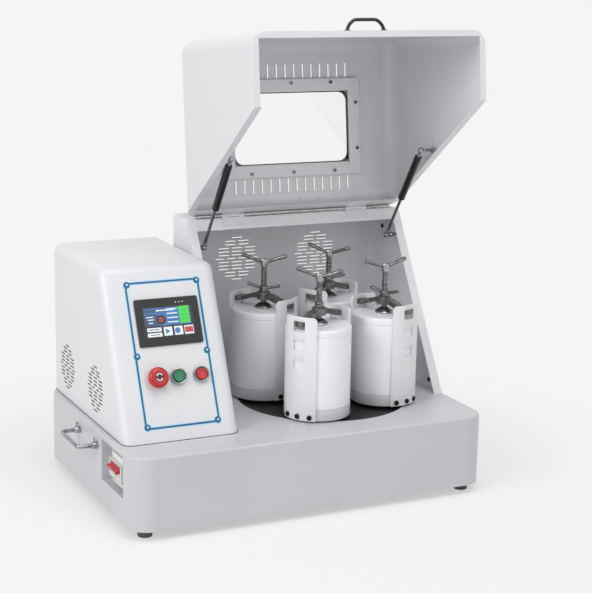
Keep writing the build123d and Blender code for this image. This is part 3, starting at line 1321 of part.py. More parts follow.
GRIP_PAD = 7.0
GRIP_PAD_THICK = 2.0
GRIP_START = Plane(origin=(HOOD_MIDDLE - GRIP_SPAN / 2, LID_FRONT, GRIP_Z), z_dir=(0, -1, 0))
with BuildPart() as lid_handle:
    with BuildLine(on_lid(Plane.XY.offset(GRIP_Z))) as grip_path:
        FilletPolyline(
            (HOOD_MIDDLE - GRIP_SPAN / 2, LID_FRONT),
            (HOOD_MIDDLE - GRIP_SPAN / 2, LID_FRONT - GRIP_PROUD),
            (HOOD_MIDDLE + GRIP_SPAN / 2, LID_FRONT - GRIP_PROUD),
            (HOOD_MIDDLE + GRIP_SPAN / 2, LID_FRONT),
            radius=GRIP_BEND,
        )
    with BuildSketch(on_lid(GRIP_START)):
        Circle(GRIP_RADIUS)
    sweep(path=grip_path.line)
    for side in (-1, 1):
        pad_x = HOOD_MIDDLE + side * GRIP_SPAN / 2
        with BuildSketch(on_lid(Plane(origin=(pad_x, LID_FRONT, GRIP_Z), z_dir=(0, -1, 0)))):
            Circle(GRIP_PAD)
        extrude(amount=GRIP_PAD_THICK)
lid_handle.part.label = "lid_handle"
export_step(lid_handle.part, "parts/lid_handle.step")

# --- Hinges: leaves in the gap between hood and housing, knuckles round a pin -------------------
AXIS_PROUD = (HINGE_Y - housing_front(HINGE_Z)) * LEAN_COS
KNUCKLE_ROOM = KNUCKLE_RADIUS + 2 * LOOSE_GAP


def leaf_point(out: float, down: float) -> tuple[float, float]:
    """Point at a distance out of the housing front and down it from the hinge axis."""
    return (
        HINGE_Y - (out + AXIS_PROUD) * LEAN_COS - down * LEAN_SIN,
        HINGE_Z + (out + AXIS_PROUD) * LEAN_SIN - down * LEAN_COS,
    )


def leaf_outline(inner: float, outer: float, top: float, bottom: float) -> list[tuple[float, float]]:
    """Four corners of a leaf's cross-section."""
    corners = ((inner, top), (outer, top), (outer, bottom), (inner, bottom))
    return [leaf_point(out, down) for out, down in corners]


with BuildPart() as hinge_leaves_lid:
    for middle in HINGE_CENTRES:
        with BuildSketch(on_lid(Plane.YZ.offset(middle))):
            Polygon(*leaf_outline(LID_GAP - LEAF_THICK, LID_GAP, KNUCKLE_ROOM, LEAF_LENGTH), align=None)
        extrude(amount=HINGE_WIDTH / 2, both=True)
        with BuildSketch(on_lid(Plane.YZ.offset(middle))):
            Polygon(*leaf_outline(LID_GAP - LEAF_THICK, LID_GAP, 0, KNUCKLE_ROOM), align=None)
            with Locations((HINGE_Y, HINGE_Z)):
                Circle(KNUCKLE_RADIUS)
                Circle(PIN_RADIUS + RUN_GAP, mode=Mode.SUBTRACT)
        extrude(amount=KNUCKLE_LID / 2, both=True)
hinge_leaves_lid.part.label = "hinge_leaves_lid"
export_step(hinge_leaves_lid.part, "parts/hinge_leaves_lid.step")

KNUCKLE_HOUSING = (HINGE_WIDTH - KNUCKLE_LID) / 2 - LOOSE_GAP
with BuildPart() as hinge_leaves_housing:
    for middle in HINGE_CENTRES:
        with BuildSketch(Plane.YZ.offset(middle)):
            Polygon(*leaf_outline(0, LEAF_THICK, KNUCKLE_ROOM, LEAF_LENGTH), align=None)
        extrude(amount=HINGE_WIDTH / 2, both=True)
        for side in (-1, 1):
            with BuildSketch(Plane.YZ.offset(middle + side * HINGE_WIDTH / 2)):
                Polygon(*leaf_outline(0, LEAF_THICK, 0, KNUCKLE_ROOM), align=None)
                with Locations((HINGE_Y, HINGE_Z)):
                    Circle(KNUCKLE_RADIUS)
                    Circle(PIN_RADIUS + RUN_GAP, mode=Mode.SUBTRACT)
            extrude(amount=-side * KNUCKLE_HOUSING)
        with BuildSketch(Plane.YZ.offset(middle)):
            with Locations((HINGE_Y, HINGE_Z)):
                Circle(PIN_RADIUS)
        extrude(amount=HINGE_WIDTH / 2, both=True)
hinge_leaves_housing.part.label = "hinge_leaves_housing"
export_step(hinge_leaves_housing.part, "parts/hinge_leaves_housing.step")

# --- Gas struts: cylinders turn on the hood's studs, rods slide in them -------------------------
LID_BALL = lid_point(0, STRUT_LID_Y, STRUT_LID_Z)
ROD_BALL = Vector(0, STRUT_BODY_Y, STRUT_BODY_Z)
STRUT_DIR = (ROD_BALL - LID_BALL).normalized()
WALL_INNER = {-1: HOOD_LEFT + LID_SHEET, 1: HOOD_RIGHT - LID_SHEET}
NECK_LENGTH = 15.0
NECK_RADIUS = 4.0
FLANGE_PLATE = 3.0


def strut_plane(ball: Vector, x: float, along: float) -> Plane:
    """Plane square to a strut at a distance from one of its ends."""
    origin = Vector(x, ball.Y, ball.Z) + STRUT_DIR * along
    return Plane(origin=origin, x_dir=(1, 0, 0), z_dir=STRUT_DIR)


with BuildPart() as strut_cylinders:
    for side, x in zip((-1, 1), STRUT_X):
        with BuildSketch(strut_plane(LID_BALL, x, NECK_LENGTH)):
            Circle(STRUT_RADIUS)
        extrude(amount=STRUT_CYLINDER - NECK_LENGTH)
        with BuildSketch(strut_plane(LID_BALL, x, NECK_LENGTH + STRUT_WALL)):
            Circle(STRUT_RADIUS - STRUT_WALL)
        extrude(amount=STRUT_CYLINDER - NECK_LENGTH - 3 * STRUT_WALL, mode=Mode.SUBTRACT)
        with BuildSketch(strut_plane(LID_BALL, x, STRUT_CYLINDER)):
            Circle(ROD_RADIUS + RUN_GAP)
        extrude(amount=-3 * STRUT_WALL, mode=Mode.SUBTRACT)
        with BuildSketch(strut_plane(LID_BALL, x, 0)):
            Circle(NECK_RADIUS)
        extrude(amount=NECK_LENGTH)
        with BuildSketch(Plane.YZ.offset(x - EYE_WIDTH / 2)):
            with Locations((LID_BALL.Y, LID_BALL.Z)):
                Circle(EYE_RADIUS)
        extrude(amount=EYE_WIDTH)
        with BuildSketch(Plane.YZ.offset(x + side * (EYE_WIDTH / 2 + RUN_GAP))):
            with Locations((LID_BALL.Y, LID_BALL.Z)):
                Circle(STUD_RADIUS)
        stud_length = abs(WALL_INNER[side] - x) - EYE_WIDTH / 2 - 2 * RUN_GAP
        extrude(amount=side * stud_length)
        with BuildSketch(Plane.YZ.offset(WALL_INNER[side] - side * RUN_GAP)):
            with Locations((LID_BALL.Y, LID_BALL.Z)):
                Circle(STUD_FLANGE)
        extrude(amount=-side * FLANGE_PLATE)
strut_cylinders.part.label = "strut_cylinders"
export_step(strut_cylinders.part, "parts/strut_cylinders.step")

with BuildPart() as strut_rods:
    for x in STRUT_X:
        with BuildSketch(strut_plane(ROD_BALL, x, 0)):
            Circle(ROD_RADIUS)
        extrude(amount=-ROD_LENGTH)
        with BuildSketch(strut_plane(ROD_BALL, x, -ROD_LENGTH)):
            Circle(STRUT_RADIUS - STRUT_WALL - RUN_GAP)
        extrude(amount=PISTON_LENGTH)
        with BuildSketch(Plane.YZ.offset(x - EYE_WIDTH / 2)):
            with Locations((STRUT_BODY_Y, STRUT_BODY_Z)):
                Circle(EYE_RADIUS)
        extrude(amount=EYE_WIDTH)
strut_rods.part.label = "strut_rods"
export_step(strut_rods.part, "parts/strut_rods.step")

with BuildPart() as strut_studs:
    for side, x in zip((-1, 1), STRUT_X):
        wall = HOOD_LEFT + HOUSING_SHEET if side < 0 else HOOD_RIGHT - HOUSING_SHEET
        with BuildSketch(Plane.YZ.offset(wall)):
            with Locations((STRUT_BODY_Y, STRUT_BODY_Z)):
                Circle(STUD_FLANGE)
        extrude(amount=-side * FLANGE_PLATE)
        with BuildSketch(Plane.YZ.offset(wall)):
            with Locations((STRUT_BODY_Y, STRUT_BODY_Z)):
                Circle(STUD_RADIUS)
        extrude(amount=-side * (abs(wall - x) - EYE_WIDTH / 2 - LOOSE_GAP))
strut_studs.part.label = "strut_studs"
export_step(strut_studs.part, "parts/strut_studs.step")
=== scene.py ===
"""Looks of a planetary ball mill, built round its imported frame. Everything is in metres."""

from __future__ import annotations

import logging
from dataclasses import dataclass
from enum import Enum
from math import atan2, cos, pi, radians, sin

import bmesh
import bpy
from mathutils import Matrix, Vector

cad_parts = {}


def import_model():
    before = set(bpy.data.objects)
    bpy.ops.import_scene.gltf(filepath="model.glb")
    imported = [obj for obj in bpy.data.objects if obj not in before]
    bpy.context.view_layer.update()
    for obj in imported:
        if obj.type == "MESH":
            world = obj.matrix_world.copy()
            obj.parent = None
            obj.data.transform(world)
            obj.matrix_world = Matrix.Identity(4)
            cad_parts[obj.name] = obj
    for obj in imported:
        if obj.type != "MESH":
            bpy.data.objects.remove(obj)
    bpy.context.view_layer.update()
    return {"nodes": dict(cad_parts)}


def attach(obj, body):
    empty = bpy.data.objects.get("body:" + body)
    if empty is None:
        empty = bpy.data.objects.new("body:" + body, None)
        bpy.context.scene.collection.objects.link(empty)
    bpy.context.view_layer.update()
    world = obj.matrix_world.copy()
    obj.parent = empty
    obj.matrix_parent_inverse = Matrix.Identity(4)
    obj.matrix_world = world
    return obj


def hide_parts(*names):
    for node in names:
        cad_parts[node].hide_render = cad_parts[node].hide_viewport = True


Mesh = bmesh.types.BMesh
Outline = list[tuple[float, float]]
Spot = tuple[Vector, Vector, Vector, float]

LOG = logging.getLogger("mill")
MM = 0.001
SHARP = radians(32)
X_AXIS = Vector((1, 0, 0))
Y_AXIS = Vector((0, 1, 0))
Z_AXIS = Vector((0, 0, 1))


class Pattern(Enum):
    """How a finish breaks up its surface."""

    CLOUD = "cloud"
    TURNED = "turned"
    BRUSHED = "brushed"
    CELLS = "cells"


class Body(str, Enum):
    """Moving bodies that pieces ride on."""

    CABINET = "cabinet"
    HOOD = "hood"
    CYLINDERS = "strut_cylinder_pair"
    RODS = "strut_rod_pair"
    ESTOP = "estop"
    START = "start"
    STOP = "stop"


# --- Places shared with the frame ---------------------------------------------------------------
PANEL_LEAN = atan2(140.5, 308.0)
PANEL = Matrix(
    (
        (1, 0, 0, 0),
        (0, sin(PANEL_LEAN), -cos(PANEL_LEAN), -0.179),
        (0, cos(PANEL_LEAN), sin(PANEL_LEAN), 0.160),
        (0, 0, 0, 1),
    )
)
HINGE = Vector((0, 0.1295, 0.525))
OPEN = Matrix.Translation(HINGE) @ Matrix.Rotation(radians(-96.5), 4, "X") @ Matrix.Translation(-HINGE)
STATIONS = ((232.574, -77.736), (190.236, 92.074), (20.426, 49.736), (62.764, -120.074))
CLAMP_HEADINGS = (-72.4, -148.9, -61.5, -149.5)
HANDLE_HEADINGS = (-0.2, -49.2, -33.0, -38.3)
NUT_HEADINGS = (-63.7, -20.0, -45.0, 60.0)


def linear(hex_colour: str) -> tuple[float, float, float, float]:
    """Turns an sRGB hex colour to linear.

    Args:
        hex_colour: Six hex digits after a hash sign.

    Returns:
        Linear red, green, blue and a full alpha.
    """
    levels = [int(hex_colour[i : i + 2], 16) / 255 for i in (1, 3, 5)]
    turned = [v / 12.92 if v <= 0.04045 else ((v + 0.055) / 1.055) ** 2.4 for v in levels]
    return (*turned, 1.0)


def add_node(
    tree: bpy.types.NodeTree,
    kind: str,
    settings: dict | None = None,
    values: dict | None = None,
    links: dict | None = None,
) -> bpy.types.Node:
    """Adds one node with its settings, input values and links.

    Args:
        tree: Node tree that gets the node.
        kind: Blender's name of the node type.
        settings: Properties of the node.
        values: Input sockets and their constant values.
        links: Input sockets and the output sockets that feed them.

    Returns:
        The new node.
    """
    made = tree.nodes.new(kind)
    for key, value in (settings or {}).items():
        setattr(made, key, value)
    for key, value in (values or {}).items():
        made.inputs[key].default_value = value
    for key, socket in (links or {}).items():
        tree.links.new(socket, made.inputs[key])
    return made


@dataclass(frozen=True)
class Finish:
    """A real surface: its colours, gloss and the size of what breaks it up."""

    name: str
    colour: str
    accent: str
    roughness: float
    patch_mm: float = 40.0
    share: float = 0.5
    metallic: float = 0.0
    grain_mm: float = 1.0
    grain_height_mm: float = 0.01
    rough_spread: float = 0.06
    pattern: Pattern = Pattern.CLOUD
    coat: float = 0.0
    transmission: float = 0.0
    glow: float = 0.0

    def build(self) -> bpy.types.Material:
        """Builds the node material, or returns the one already built."""
        if self.name in bpy.data.materials:
            return bpy.data.materials[self.name]
        material = bpy.data.materials.new(self.name)
        material.use_nodes = True
        material.diffuse_color = linear(self.colour)
        tree = material.node_tree
        tree.nodes.clear()
        place = add_node(tree, "ShaderNodeTexCoord").outputs["Object"]
        cloud = add_node(
            tree,
            "ShaderNodeTexNoise",
            values={"Scale": 1000 / self.patch_mm, "Detail": 4.0, "Roughness": 0.6},
            links={"Vector": place},
        )
        spread = add_node(
            tree,
            "ShaderNodeMapRange",
            values={"From Min": 0.35, "From Max": 0.7, "To Max": self.share},
            links={"Value": cloud.outputs["Fac"]},
        )
        tone = add_node(
            tree,
            "ShaderNodeMix",
            {"data_type": "RGBA"},
            {6: linear(self.colour), 7: linear(self.accent)},
            {0: spread.outputs["Result"]},
        )
        gloss = add_node(
            tree,
            "ShaderNodeMapRange",
            values={
                "To Min": self.roughness - self.rough_spread,
                "To Max": self.roughness + self.rough_spread,
            },
            links={"Value": cloud.outputs["Fac"]},
        )
        bump = add_node(
            tree,
            "ShaderNodeBump",
            values={"Strength": 0.6, "Distance": self.grain_height_mm * MM},
            links={"Height": self.height(tree, place)},
        )
        shader = add_node(
            tree,
            "ShaderNodeBsdfPrincipled",
            values={
                "Metallic": self.metallic,
                "Coat Weight": self.coat,
                "Transmission Weight": self.transmission,
            },
            links={
                "Base Color": tone.outputs[2],
                "Roughness": gloss.outputs["Result"],
                "Normal": bump.outputs["Normal"],
            },
        )
        if self.glow:
            shader.inputs["Emission Color"].default_value = linear(self.colour)
            shader.inputs["Emission Strength"].default_value = self.glow
        add_node(tree, "ShaderNodeOutputMaterial", links={"Surface": shader.outputs["BSDF"]})
        return material

    def height(self, tree: bpy.types.NodeTree, place: bpy.types.NodeSocket) -> bpy.types.NodeSocket:
        """Builds the fine relief of the finish.

        Args:
            tree: Node tree of the material.
            place: Object coordinates.

        Returns:
            Socket that carries the height.
        """
        scale = 1000 / self.grain_mm
        if self.pattern is Pattern.TURNED:
            rings = add_node(
                tree,
                "ShaderNodeTexWave",
                {"bands_direction": "Z"},
                {"Scale": scale / 6.3, "Distortion": 1.5, "Detail": 2.0},
                {"Vector": place},
            )
            return rings.outputs["Fac"]
        if self.pattern is Pattern.CELLS:
            cells = add_node(tree, "ShaderNodeTexVoronoi", values={"Scale": scale}, links={"Vector": place})
            return cells.outputs["Distance"]
        stretch = (1.0, 1.0, 14.0) if self.pattern is Pattern.BRUSHED else (1.0, 1.0, 1.0)
        turned = add_node(tree, "ShaderNodeMapping", values={"Scale": stretch}, links={"Vector": place})
        grain = add_node(
            tree,
            "ShaderNodeTexNoise",
            values={"Scale": scale, "Detail": 2.0},
            links={"Vector": turned.outputs["Vector"]},
        )
        return grain.outputs["Fac"]


# Powder coat, epoxy-polyester on sheet steel, baked: even off-white with a fine orange peel.
ENAMEL = Finish(
    "powder_coated_steel", "#E4E4E7", "#DCDDE0", 0.32, 160, 0.5, grain_mm=1.6, grain_height_mm=0.02,
)
# The same coat on the base, painted a shade greyer as painted shade for its shaded front.
ENAMEL_BASE_SHADED = Finish(
    "powder_coat_base_painted_shade", "#CDCDD1", "#C5C6C9", 0.34, 160, 0.5, grain_mm=1.6, grain_height_mm=0.02,
)
# The same coat inside the chamber, sprayed thinner, so it is a little duller; its colour is painted lighter
# as painted light for the shaded chamber.
ENAMEL_INSIDE_LIT = Finish(
    "powder_coat_inside_painted_light", "#EBEBEE", "#E2E2E5", 0.4, 60, 0.5, grain_mm=1.4, grain_height_mm=0.02,
)
# Turned polyamide: milky white, matt, with faint tool rings.
NYLON = Finish(
    "turned_polyamide", "#F6F7FB", "#EFF0F5", 0.42, 50, 0.5, grain_mm=0.9, grain_height_mm=0.012,
    pattern=Pattern.TURNED,
)
# Seat ring of turned and coated steel, one shade greyer than the jar.
SEAT = Finish(
    "coated_seat_steel", "#D2D3D5", "#C8C9CC", 0.45, 40, 0.5, grain_mm=1.2, grain_height_mm=0.015,
    pattern=Pattern.TURNED,
)
# Machined steel; its dark mottling is painted reflection contrast.
STEEL_REFLECTION_MOTTLED = Finish(
    "machined_steel_painted_reflections", "#8E8D8C", "#454443", 0.24, 7, 0.9, 0.85, 0.5, 0.02, 0.08, Pattern.BRUSHED
)
# Polished steel of hubs and rims, painted lighter than the other steel as a painted highlight.
STEEL_PAINTED_HIGHLIGHT = Finish("polished_steel_painted_highlight", "#B9B9BA", "#7E7E7F", 0.16, 5, 0.7, 0.95, 0.5, 0.01, 0.05)
# Blackened steel of the presser domes.
DARK_STEEL = Finish("blackened_steel", "#5E5B59", "#333130", 0.35, 6, 0.8, 0.8, 0.5, 0.02, 0.08)
# Drop-forged steel of the clamp bars: darker, with scale left in the hollows.
FORGED = Finish("forged_steel", "#83807D", "#454341", 0.38, 10, 0.85, 0.8, 1.4, 0.06, 0.1)
# Chrome plate on the lifting handles, collars and ball ends.
CHROME = Finish("chrome_plate", "#B4B5B8", "#77787B", 0.12, 6, 0.9, 1.0, 0.8, 0.004, 0.04)
# Black oxide screws: almost black with a dry oil sheen; the same black also paints the shade in the clamp
# screw bores.
BLACK_OXIDE_AND_BORE_SHADE = Finish("black_oxide_screw_and_bore_shade", "#1B1B1C", "#2C2C2E", 0.45, 4, 0.6, 0.6, 0.5, 0.01)
# Black baked lacquer on the turntable, with hairline scuffs.
LACQUER = Finish("black_lacquer", "#0E0E0F", "#1D1D1E", 0.4, 25, 0.6, grain_mm=0.9, grain_height_mm=0.015)
# Gloss black coat of the strut tubes and the hood grip.
GLOSS_BLACK = Finish("gloss_black_coat", "#060606", "#0C0C0D", 0.34, 15, 0.5, coat=0.1, grain_mm=1.2)
# Moulded rubber, grey-black with a dusty bloom.
RUBBER = Finish("moulded_rubber", "#5A5A5B", "#6A6967", 0.75, 8, 0.6, grain_mm=0.7, grain_height_mm=0.03)
# Extruded seal strip in the window; the same black also paints the shadow line at the foot of the control
# box.
SEAL_AND_FOOT_SHADOW = Finish("rubber_seal_and_painted_shadow", "#141415", "#202021", 0.6, 10, 0.5, grain_mm=0.8, grain_height_mm=0.02)
# Moulded ABS of the operator panel, with spark-eroded texture.
ABS_DARK = Finish(
    "moulded_abs_dark", "#262628", "#202022", 0.6, 15, 0.5, grain_mm=0.6, grain_height_mm=0.02,
    pattern=Pattern.CELLS,
)
# Moulded polyamide of gland, pulley guard and inverter; the same black also paints the shade in the button
# gaps.
NYLON_BLACK_AND_GAP_SHADE = Finish(
    "moulded_polyamide_black_and_gap_shade", "#1A1A1C", "#242426", 0.55, 15, 0.5, grain_mm=0.7, grain_height_mm=0.02,
    pattern=Pattern.CELLS,
)
# Moulded thermoplastic of the circuit breaker.
ABS_LIGHT = Finish(
    "moulded_abs_light", "#DAD9D4", "#CFCEC8", 0.48, 12, 0.5, grain_mm=0.6, grain_height_mm=0.015,
    pattern=Pattern.CELLS,
)
# Glossy moulded buttons.
RED = Finish(
    "gloss_red_button", "#C4161C", "#A81018", 0.28, 12, 0.5, coat=0.3, grain_mm=1.0, grain_height_mm=0.006,
)
RED_DEEP = Finish("deep_red_insert", "#5A0A10", "#43070C", 0.35, 6, 0.6, grain_mm=0.8, grain_height_mm=0.006)
GREEN = Finish(
    "gloss_green_button", "#0C7A4E", "#0A6641", 0.28, 12, 0.5, coat=0.3, grain_mm=1.0, grain_height_mm=0.006,
)
# Screen-printed ink: flat, a hair thick, with a faint mesh mark.
INK_BLUE = Finish("printed_ink_blue", "#2B6C94", "#1F587D", 0.5, 6, 0.6, grain_mm=0.5, grain_height_mm=0.01)
# The pale ink also paints the highlights on the blue dots.
INK_PALE_AND_HIGHLIGHT = Finish("printed_ink_pale_and_highlight", "#BFE0F3", "#CFE7F5", 0.5, 6, 0.6, grain_mm=0.5, grain_height_mm=0.01)
INK_WHITE = Finish("printed_ink_white", "#F0F0F0", "#E2E2E2", 0.5, 5, 0.5, grain_mm=0.5, grain_height_mm=0.01)
INK_BLACK = Finish("printed_ink_black", "#141414", "#202020", 0.5, 5, 0.5, grain_mm=0.5, grain_height_mm=0.01)
# Colours of a lit display under its glossy front film.
GLASS_DARK = Finish("display_dark", "#04070B", "#080D14", 0.2, 8, 0.5, coat=0.2, glow=0.0)
GLASS_BLUE = Finish("display_blue", "#1A6FAE", "#123F78", 0.15, 14, 0.9, coat=0.5, glow=0.25)
GLASS_NAVY = Finish("display_navy", "#16335E", "#1B4A7E", 0.15, 8, 0.6, coat=0.5, glow=0.2)
GLASS_GREEN = Finish("display_green", "#1FC31F", "#18B318", 0.15, 10, 0.5, coat=0.5, glow=0.3)
GLASS_WHITE = Finish("display_white", "#DCE6EA", "#CBD8DE", 0.15, 10, 0.5, coat=0.5, glow=0.2)
GLASS_RED = Finish("display_red", "#B3202A", "#9C1A24", 0.15, 10, 0.5, coat=0.5, glow=0.2)
# Clear cast acrylic of the window.
ACRYLIC = Finish("clear_acrylic", "#FDFEFE", "#F9FAFA", 0.03, 80, 0.3, transmission=1.0, rough_spread=0.01)
# Grey machine enamel on the cast motor and drive plate.
CASTING = Finish("painted_casting", "#6E7478", "#5D6266", 0.5, 20, 0.6, grain_mm=2.0, grain_height_mm=0.08)
# Ground gear steel with a film of oil.
GEAR = Finish("ground_gear_steel", "#8C8C8D", "#6F6F70", 0.28, 10, 0.6, 1.0, 0.6, 0.01, 0.05, Pattern.TURNED)
# Galvanised sheet of the bottom plate.
ZINC = Finish("galvanised_sheet", "#A8ABAD", "#8E9294", 0.4, 18, 0.8, 0.9, 3.0, 0.01, 0.1)


def dress(piece: bpy.types.Object, finish: Finish) -> None:
    """Gives a piece one finish.

    Args:
        piece: Mesh object.
        finish: What it is made of.
    """
    piece.data.materials.clear()
    piece.data.materials.append(finish.build())


def place_piece(
    piece: bpy.types.Object, body: str, finish: Finish, replaces: tuple[str, ...] = ()
) -> bpy.types.Object:
    """Dresses a piece and makes it ride on its body.

    Args:
        piece: Mesh object in the row frame.
        body: Name of the body.
        finish: What it is made of.
        replaces: CAD nodes that it stands for.

    Returns:
        The same piece.
    """
    dress(piece, finish)
    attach(piece, body)
    if replaces:
        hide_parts(*replaces)
    LOG.info("%s rides on %s", piece.name, body)
    return piece


def from_bmesh(name: str, bm: Mesh, bevel_mm: float = 0.0) -> bpy.types.Object:
    """Turns a bmesh to an object with rounded sharp edges.

    Args:
        name: Name of the object.
        bm: Closed mesh in metres; it is freed.
        bevel_mm: Width of the rounding on sharp edges.

    Returns:
        A new object in the scene.
    """
    bmesh.ops.remove_doubles(bm, verts=bm.verts, dist=2e-6)
    bmesh.ops.recalc_face_normals(bm, faces=bm.faces)
    if bevel_mm:
        bmesh.ops.dissolve_limit(bm, angle_limit=radians(1), verts=bm.verts, edges=bm.edges)
        sharp = [e for e in bm.edges if len(e.link_faces) == 2 and e.calc_face_angle(0.0) > SHARP]
        bmesh.ops.bevel(
            bm, geom=sharp, offset=bevel_mm * MM, segments=2, profile=0.6, affect="EDGES", clamp_overlap=True
        )
    mesh = bpy.data.meshes.new(name)
    bm.to_mesh(mesh)
    bm.free()
    mesh.shade_smooth()
    mesh.set_sharp_from_angle(angle=SHARP)
    made = bpy.data.objects.new(name, mesh)
    bpy.context.scene.collection.objects.link(made)
    return made


def lathe(
    name: str,
    profile: Outline,
    place: Matrix,
    segments: int = 96,
    bm: Mesh | None = None,
) -> bpy.types.Object | None:
    """Turns a profile round the local Z axis.

    Args:
        name: Name of the object.
        profile: Radius and height in millimetres, starting and ending on the axis or closed.
        place: Where the local frame stands, in metres.
        segments: Steps round the axis.
        bm: Mesh that takes the shape instead of a new object.

    Returns:
        A new object, or nothing when bm is given.
    """
    own = bm is None
    bm = bm or bmesh.new()
    rings = []
    for radius, height in profile:
        if radius < 1e-6:
            rings.append([bm.verts.new(place @ Vector((0, 0, height * MM)))])
            continue
        corners = [(x, y, height) for x, y in disc(0, 0, radius, segments)]
        rings.append([bm.verts.new(place @ (Vector(corner) * MM)) for corner in corners])
    pairs = list(zip(rings, rings[1:]))
    if profile[0][0] > 1e-6 and profile[-1][0] > 1e-6:
        pairs.append((rings[-1], rings[0]))
    for low, high in pairs:
        for k in range(segments):
            n = (k + 1) % segments
            corners = [low[k % len(low)], low[n % len(low)], high[n % len(high)], high[k % len(high)]]
            bm.faces.new(list(dict.fromkeys(corners)))
    return from_bmesh(name, bm) if own else None


def prism(bm: Mesh, outline: Outline, low: float, high: float, place: Matrix) -> None:
    """Adds an upright prism to a mesh.

    Args:
        bm: Mesh that takes it.
        outline: Corners in millimetres, anticlockwise.
        low: Height of its foot in millimetres.
        high: Height of its top in millimetres.
        place: Where the local frame stands.
    """
    foot = [bm.verts.new(place @ Vector((x * MM, y * MM, low * MM))) for x, y in outline]
    top = [bm.verts.new(place @ Vector((x * MM, y * MM, high * MM))) for x, y in outline]
    bm.faces.new(foot[::-1])
    bm.faces.new(top)
    for k in range(len(outline)):
        n = (k + 1) % len(outline)
        bm.faces.new((foot[k], foot[n], top[n], top[k]))


def ring_prism(
    bm: Mesh,
    outer: Outline,
    inner: Outline,
    low: float,
    high: float,
    place: Matrix,
) -> None:
    """Adds a flat closed frame between two outlines with equal numbers of corners."""
    rows = []
    for outline, height in ((outer, low), (outer, high), (inner, high), (inner, low)):
        rows.append([bm.verts.new(place @ Vector((x * MM, y * MM, height * MM))) for x, y in outline])
    for a, b in zip(rows, rows[1:] + rows[:1]):
        for k in range(len(outer)):
            n = (k + 1) % len(outer)
            bm.faces.new((a[k], a[n], b[n], b[k]))


def rounded(x: float, y: float, width: float, height: float, radius: float, steps: int = 6) -> Outline:
    """Corners of a rounded rectangle about a middle point, in millimetres."""
    points = []
    for quarter, (sx, sy) in enumerate(((1, 1), (-1, 1), (-1, -1), (1, -1))):
        for step in range(steps + 1):
            turn = (quarter + step / steps) * pi / 2
            points.append(
                (
                    x + sx * (width / 2 - radius) + radius * cos(turn),
                    y + sy * (height / 2 - radius) + radius * sin(turn),
                )
            )
    return points


def disc(x: float, y: float, radius: float, sides: int = 24) -> Outline:
    """Corners of a round outline, in millimetres."""
    turns = [2 * pi * k / sides for k in range(sides)]
    return [(x + radius * cos(a), y + radius * sin(a)) for a in turns]


def dome(radius: float, height: float, reach: float) -> Outline:
    """Quarter round of a profile that ends an arm, from its widest ring up to near the tip."""
    turns = [radians(t) for t in range(0, 90, 15)]
    return [(radius * cos(a), height + reach * sin(a)) for a in turns]


def ball(radius: float) -> Outline:
    """Profile of a ball about the local origin."""
    turns = [radians(t) for t in range(-75, 90, 15)]
    return [(0, -radius), *((radius * cos(a), radius * sin(a)) for a in turns), (0, radius)]


def tube(bm: Mesh, path: list[Vector], radius_mm: float, sides: int = 24) -> None:
    """Adds a closed round bar along points, in metres.

    Args:
        bm: Mesh that takes it.
        path: Points of its middle line.
        radius_mm: Radius.
        sides: Steps round the bar.
    """
    rings = []
    side = None
    for k, point in enumerate(path):
        ahead = (path[min(k + 1, len(path) - 1)] - path[max(k - 1, 0)]).normalized()
        if side is None:
            side = ahead.orthogonal().normalized()
        side = (side - ahead * side.dot(ahead)).normalized()
        other = ahead.cross(side)
        steps = [2 * pi * s / sides for s in range(sides)]
        rings.append([bm.verts.new(point + (side * cos(a) + other * sin(a)) * radius_mm * MM) for a in steps])
    for low, high in zip(rings, rings[1:]):
        for k in range(sides):
            n = (k + 1) % sides
            bm.faces.new((low[k], low[n], high[n], high[k]))
    bm.faces.new(rings[0][::-1])
    bm.faces.new(rings[-1])


def bend(points: list[Vector], radius_mm: float, steps: int = 8) -> list[Vector]:
    """Rounds the inner corners of a run of points."""
    made = [points[0]]
    for before, corner, after in zip(points, points[1:], points[2:]):
        start = corner + (before - corner).normalized() * radius_mm * MM
        end = corner + (after - corner).normalized() * radius_mm * MM
        for k in range(steps + 1):
            t = k / steps
            made.append(start * (1 - t) ** 2 + corner * 2 * t * (1 - t) + end * t**2)
    return [*made, points[-1]]


def stand(x: float, y: float, z: float = 0.0) -> Matrix:
    """Upright local frame at a point, in millimetres."""
    return Matrix.Translation((x * MM, y * MM, z * MM))


def along(start: Vector, direction: Vector) -> Matrix:
    """Local frame at a point whose Z looks along a direction."""
    return Matrix.Translation(start) @ direction.to_track_quat("Z", "Y").to_matrix().to_4x4()


def islands(node: bpy.types.Object) -> list[Mesh]:
    """Splits a merged copy of a CAD node's mesh into its separate closed solids."""
    whole = bmesh.new()
    whole.from_mesh(node.data)
    bmesh.ops.remove_doubles(whole, verts=whole.verts, dist=1e-6)
    whole.verts.ensure_lookup_table()
    seen: set[int] = set()
    found = []
    for seed in whole.verts:
        if seed.index in seen:
            continue
        group, stack = [], [seed]
        seen.add(seed.index)
        while stack:
            vert = stack.pop()
            group.append(vert)
            for edge in vert.link_edges:
                other = edge.other_vert(vert)
                if other.index not in seen:
                    seen.add(other.index)
                    stack.append(other)
        part = bmesh.new()
        made = {v.index: part.verts.new(v.co) for v in group}
        for face in {f for v in group for f in v.link_faces}:
            part.faces.new([made[v.index] for v in face.verts])
        found.append(part)
    whole.free()
    return found


def height_of(part: Mesh) -> tuple[float, float]:
    """Lowest and highest point of a mesh, in millimetres."""
    levels = [v.co.z / MM for v in part.verts]
    return min(levels), max(levels)


def joined(parts: list[Mesh]) -> Mesh:
    """Puts several meshes into one and frees them."""
    whole = bmesh.new()
    for part in parts:
        mesh = bpy.data.meshes.new("part")
        part.to_mesh(mesh)
        part.free()
        whole.from_mesh(mesh)
        bpy.data.meshes.remove(mesh)
    return whole


